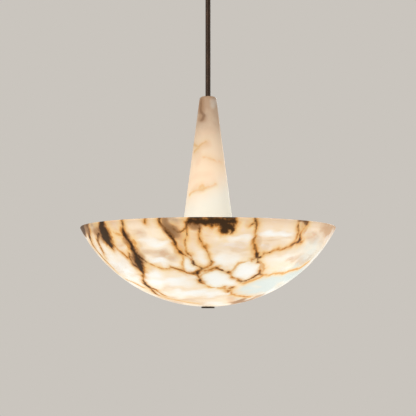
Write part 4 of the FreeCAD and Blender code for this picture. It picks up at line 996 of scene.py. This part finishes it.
def plain(name, tint, shade, roughness, coat=0.0):
    """Moulded, rubbery or glazed surfaces: a slight mottle in colour and a fine skin."""
    paint = Paint(name)
    mottle = paint.noise(40, 5, 0.6)
    fine = paint.noise(320, 3, 0.5, offset=(4, 4, 1))
    paint.set(Base_Color=paint.mix(paint.ramp(mottle, 0.35, 0.7), tint, shade))
    paint.set(Roughness=paint.ramp(fine, 0.2, 0.8, roughness - 0.05, roughness + 0.06, smooth=False))
    paint.set(Coat_Weight=coat)
    paint.bump(fine, SKIN_RELIEF, 0.3)
    return paint.material


def opal_glass():
    """White glass with a lit lamp inside, a little warmer in places."""
    paint = Paint("opal_glass_lit")
    mottle = paint.noise(60, 3, 0.5)
    tint = paint.mix(paint.ramp(mottle, 0.35, 0.7), colour(255, 240, 212), colour(255, 247, 228))
    paint.set(Base_Color=tint, Emission_Color=tint, Emission_Strength=BULB_GLOW)
    paint.set(Roughness=0.16, Coat_Weight=0.3)
    return paint.material


def core_wires():
    """Three insulated cores side by side along Y: brown, green with yellow, and blue."""
    paint = Paint("core_insulation")
    split = paint.nodes.new("ShaderNodeSeparateXYZ")
    paint.links.new(paint.place, split.inputs[0])
    across = split.outputs["Y"]
    bands = paint.noise(420, 0, 0.5, stretch=(1, 0.2, 1))
    earth = paint.mix(paint.ramp(bands, 0.47, 0.53), colour(74, 128, 60), colour(226, 206, 70))
    shade = paint.mix(paint.ramp(across, -CORE_EDGE[1], -CORE_EDGE[0]), colour(112, 70, 44), earth)
    shade = paint.mix(paint.ramp(across, *CORE_EDGE), shade, colour(66, 104, 160))
    paint.set(Base_Color=shade, Roughness=0.5)
    paint.bump(bands, GRAIN_RELIEF, 0.2)
    return paint.material


def dress(material, *names):
    for name in names:
        slots = NODES[name].data.materials
        slots.clear()
        slots.append(material)


def dress_cad_nodes():
    bronze = metal("dark_bronze", colour(50, 34, 21), colour(78, 55, 36), 0.42, 0.55, stretch=(1, 1, 0.15))
    zinc = metal("zinc_steel", colour(186, 188, 188), colour(160, 162, 164), 0.36, 1.0, grain=420)
    brass = metal("brass", colour(214, 178, 104), colour(184, 146, 78), 0.34, 1.0)
    enamel = plain("white_enamel", colour(236, 232, 224), colour(226, 222, 212), 0.32, coat=0.4)
    porcelain = plain("porcelain", colour(240, 237, 230), colour(232, 228, 218), 0.22, coat=0.8)
    cap = metal("bulb_cap", colour(208, 208, 204), colour(190, 190, 188), 0.28, 1.0)
    nylon = plain("nylon", colour(232, 229, 216), colour(222, 218, 202), 0.5)
    silicone = plain("silicone", colour(226, 224, 216), colour(214, 212, 204), 0.42)
    thermoset = plain("terminal_plastic", colour(228, 222, 206), colour(216, 208, 190), 0.45)
    sheath = plain("cable_sheath", colour(212, 210, 204), colour(200, 198, 192), 0.55)
    dress(bronze, "canopy", "canopy_ring_nut", "swivel_socket", "pivot_screws", "swivel_tongue")
    dress(bronze, "rod", "end_cap")
    dress(zinc, "ceiling_bracket", "hanger_bolt", "bolt_lock_nuts", "rod_lock_nuts", "holder_lock_nuts")
    dress(zinc, "cone_spider", "rod_spacer", "bowl_flange")
    dress(brass, "terminal_screws", "earth_screw")
    dress(enamel, "lamp_hub", "lamp_hub_cover")
    dress(nylon, "thrust_washers", "cone_bush", "bowl_sleeve")
    dress(silicone, "cone_pad", "inner_gasket", "outer_gasket")
    dress(thermoset, "terminal_block", "hub_connector")
    dress(sheath, "supply_cable_upper", "supply_cable_lower", "lamp_leads")
    dress(core_wires(), "mains_cores", "hub_cores")
    glass = opal_glass()
    for number in (1, 2, 3):
        dress(porcelain, f"lampholder_{number}")
        dress(cap, f"bulb_base_{number}")
        dress(glass, f"bulb_globe_{number}")


# -------------------------------- stage and light

FLOOR_Z = -6.0
FLOOR_RADIUS = 20.0
FLOOR_CORNERS = 96
FLOOR_SHADE = colour(194, 196, 198)
FLOOR_SEEN = 0.66
BACKDROP_SHADE = colour(202, 197, 190)
BACKDROP_LIGHT = 0.55
BACKDROP_SEEN = 1.0


def stage_material():
    """A plain pale surface that the camera, metal and glass see as pale as the backdrop behind it."""
    paint = Paint("stage")
    paths = paint.nodes.new("ShaderNodeLightPath")
    seen = paint.math("MAXIMUM", paths.outputs["Is Camera Ray"], paths.outputs["Is Glossy Ray"])
    seen = paint.math("MAXIMUM", seen, paths.outputs["Is Transmission Ray"])
    paint.set(Base_Color=FLOOR_SHADE, Roughness=0.9, Emission_Color=BACKDROP_SHADE)
    paint.set(Emission_Strength=paint.math("MULTIPLY", seen, FLOOR_SEEN))
    return paint.material


def make_stage():
    mesh = bpy.data.meshes.new("floor")
    around = [math.tau * i / FLOOR_CORNERS for i in range(FLOOR_CORNERS)]
    edge = [(FLOOR_RADIUS * math.cos(a), FLOOR_RADIUS * math.sin(a), FLOOR_Z) for a in around]
    mesh.from_pydata(edge, [], [tuple(range(FLOOR_CORNERS))])
    floor = bpy.data.objects.new("floor", mesh)
    floor.data.materials.append(stage_material())
    bpy.context.scene.collection.objects.link(floor)


def add_light(name, place, width, power, tint, gloss=1.0):
    """A round lamp that faces the middle of the bowl's rim."""
    data = bpy.data.lights.new(name, "AREA")
    data.shape = "DISK"
    data.size = width
    data.energy = power
    data.color = tint[:3]
    data.specular_factor = gloss
    lamp = bpy.data.objects.new(name, data)
    lamp.location = place
    toward_rim = Vector((0, 0, RIM_Z)) - Vector(place)
    lamp.rotation_euler = toward_rim.to_track_quat("-Z", "Y").to_euler()
    bpy.context.scene.collection.objects.link(lamp)


def make_lights():
    add_light("key", (-2.4, -2.6, 0.6), 1.8, 54, colour(255, 248, 240))
    add_light("fill", (2.8, -2.2, -0.5), 2.4, 28, colour(255, 250, 246))
    add_light("back", (0.6, 3.0, 0.4), 2.0, 22, colour(255, 252, 250))
    add_light("edge", (1.8, 1.2, -2.3), 1.4, 9, colour(250, 252, 255), gloss=0.1)


def make_world():
    """The backdrop's colour, dimmer as a light than as what the camera, metal and glass see."""
    world = bpy.data.worlds.new("studio")
    bpy.context.scene.world = world
    world.use_nodes = True
    tree = world.node_tree
    background = tree.nodes["Background"]
    paths = tree.nodes.new("ShaderNodeLightPath")
    seen = paths.outputs["Is Camera Ray"]
    for kind in ("Is Glossy Ray", "Is Transmission Ray"):
        either = tree.nodes.new("ShaderNodeMath")
        either.operation = "MAXIMUM"
        tree.links.new(seen, either.inputs[0])
        tree.links.new(paths.outputs[kind], either.inputs[1])
        seen = either.outputs[0]
    level = tree.nodes.new("ShaderNodeMapRange")
    level.inputs["To Min"].default_value = BACKDROP_LIGHT
    level.inputs["To Max"].default_value = BACKDROP_SEEN
    tree.links.new(seen, level.inputs["Value"])
    tree.links.new(level.outputs["Result"], background.inputs["Strength"])
    background.inputs["Color"].default_value = BACKDROP_SHADE


# -------------------------------- put together

bpy.context.scene.view_settings.view_transform = "Standard"
make_camera()
make_stage()
make_lights()
make_world()
bowl = make_bowl()
cone = make_cone()
bowl.data.materials.append(bowl_stone())
cone.data.materials.append(cone_stone())
dress_cad_nodes()
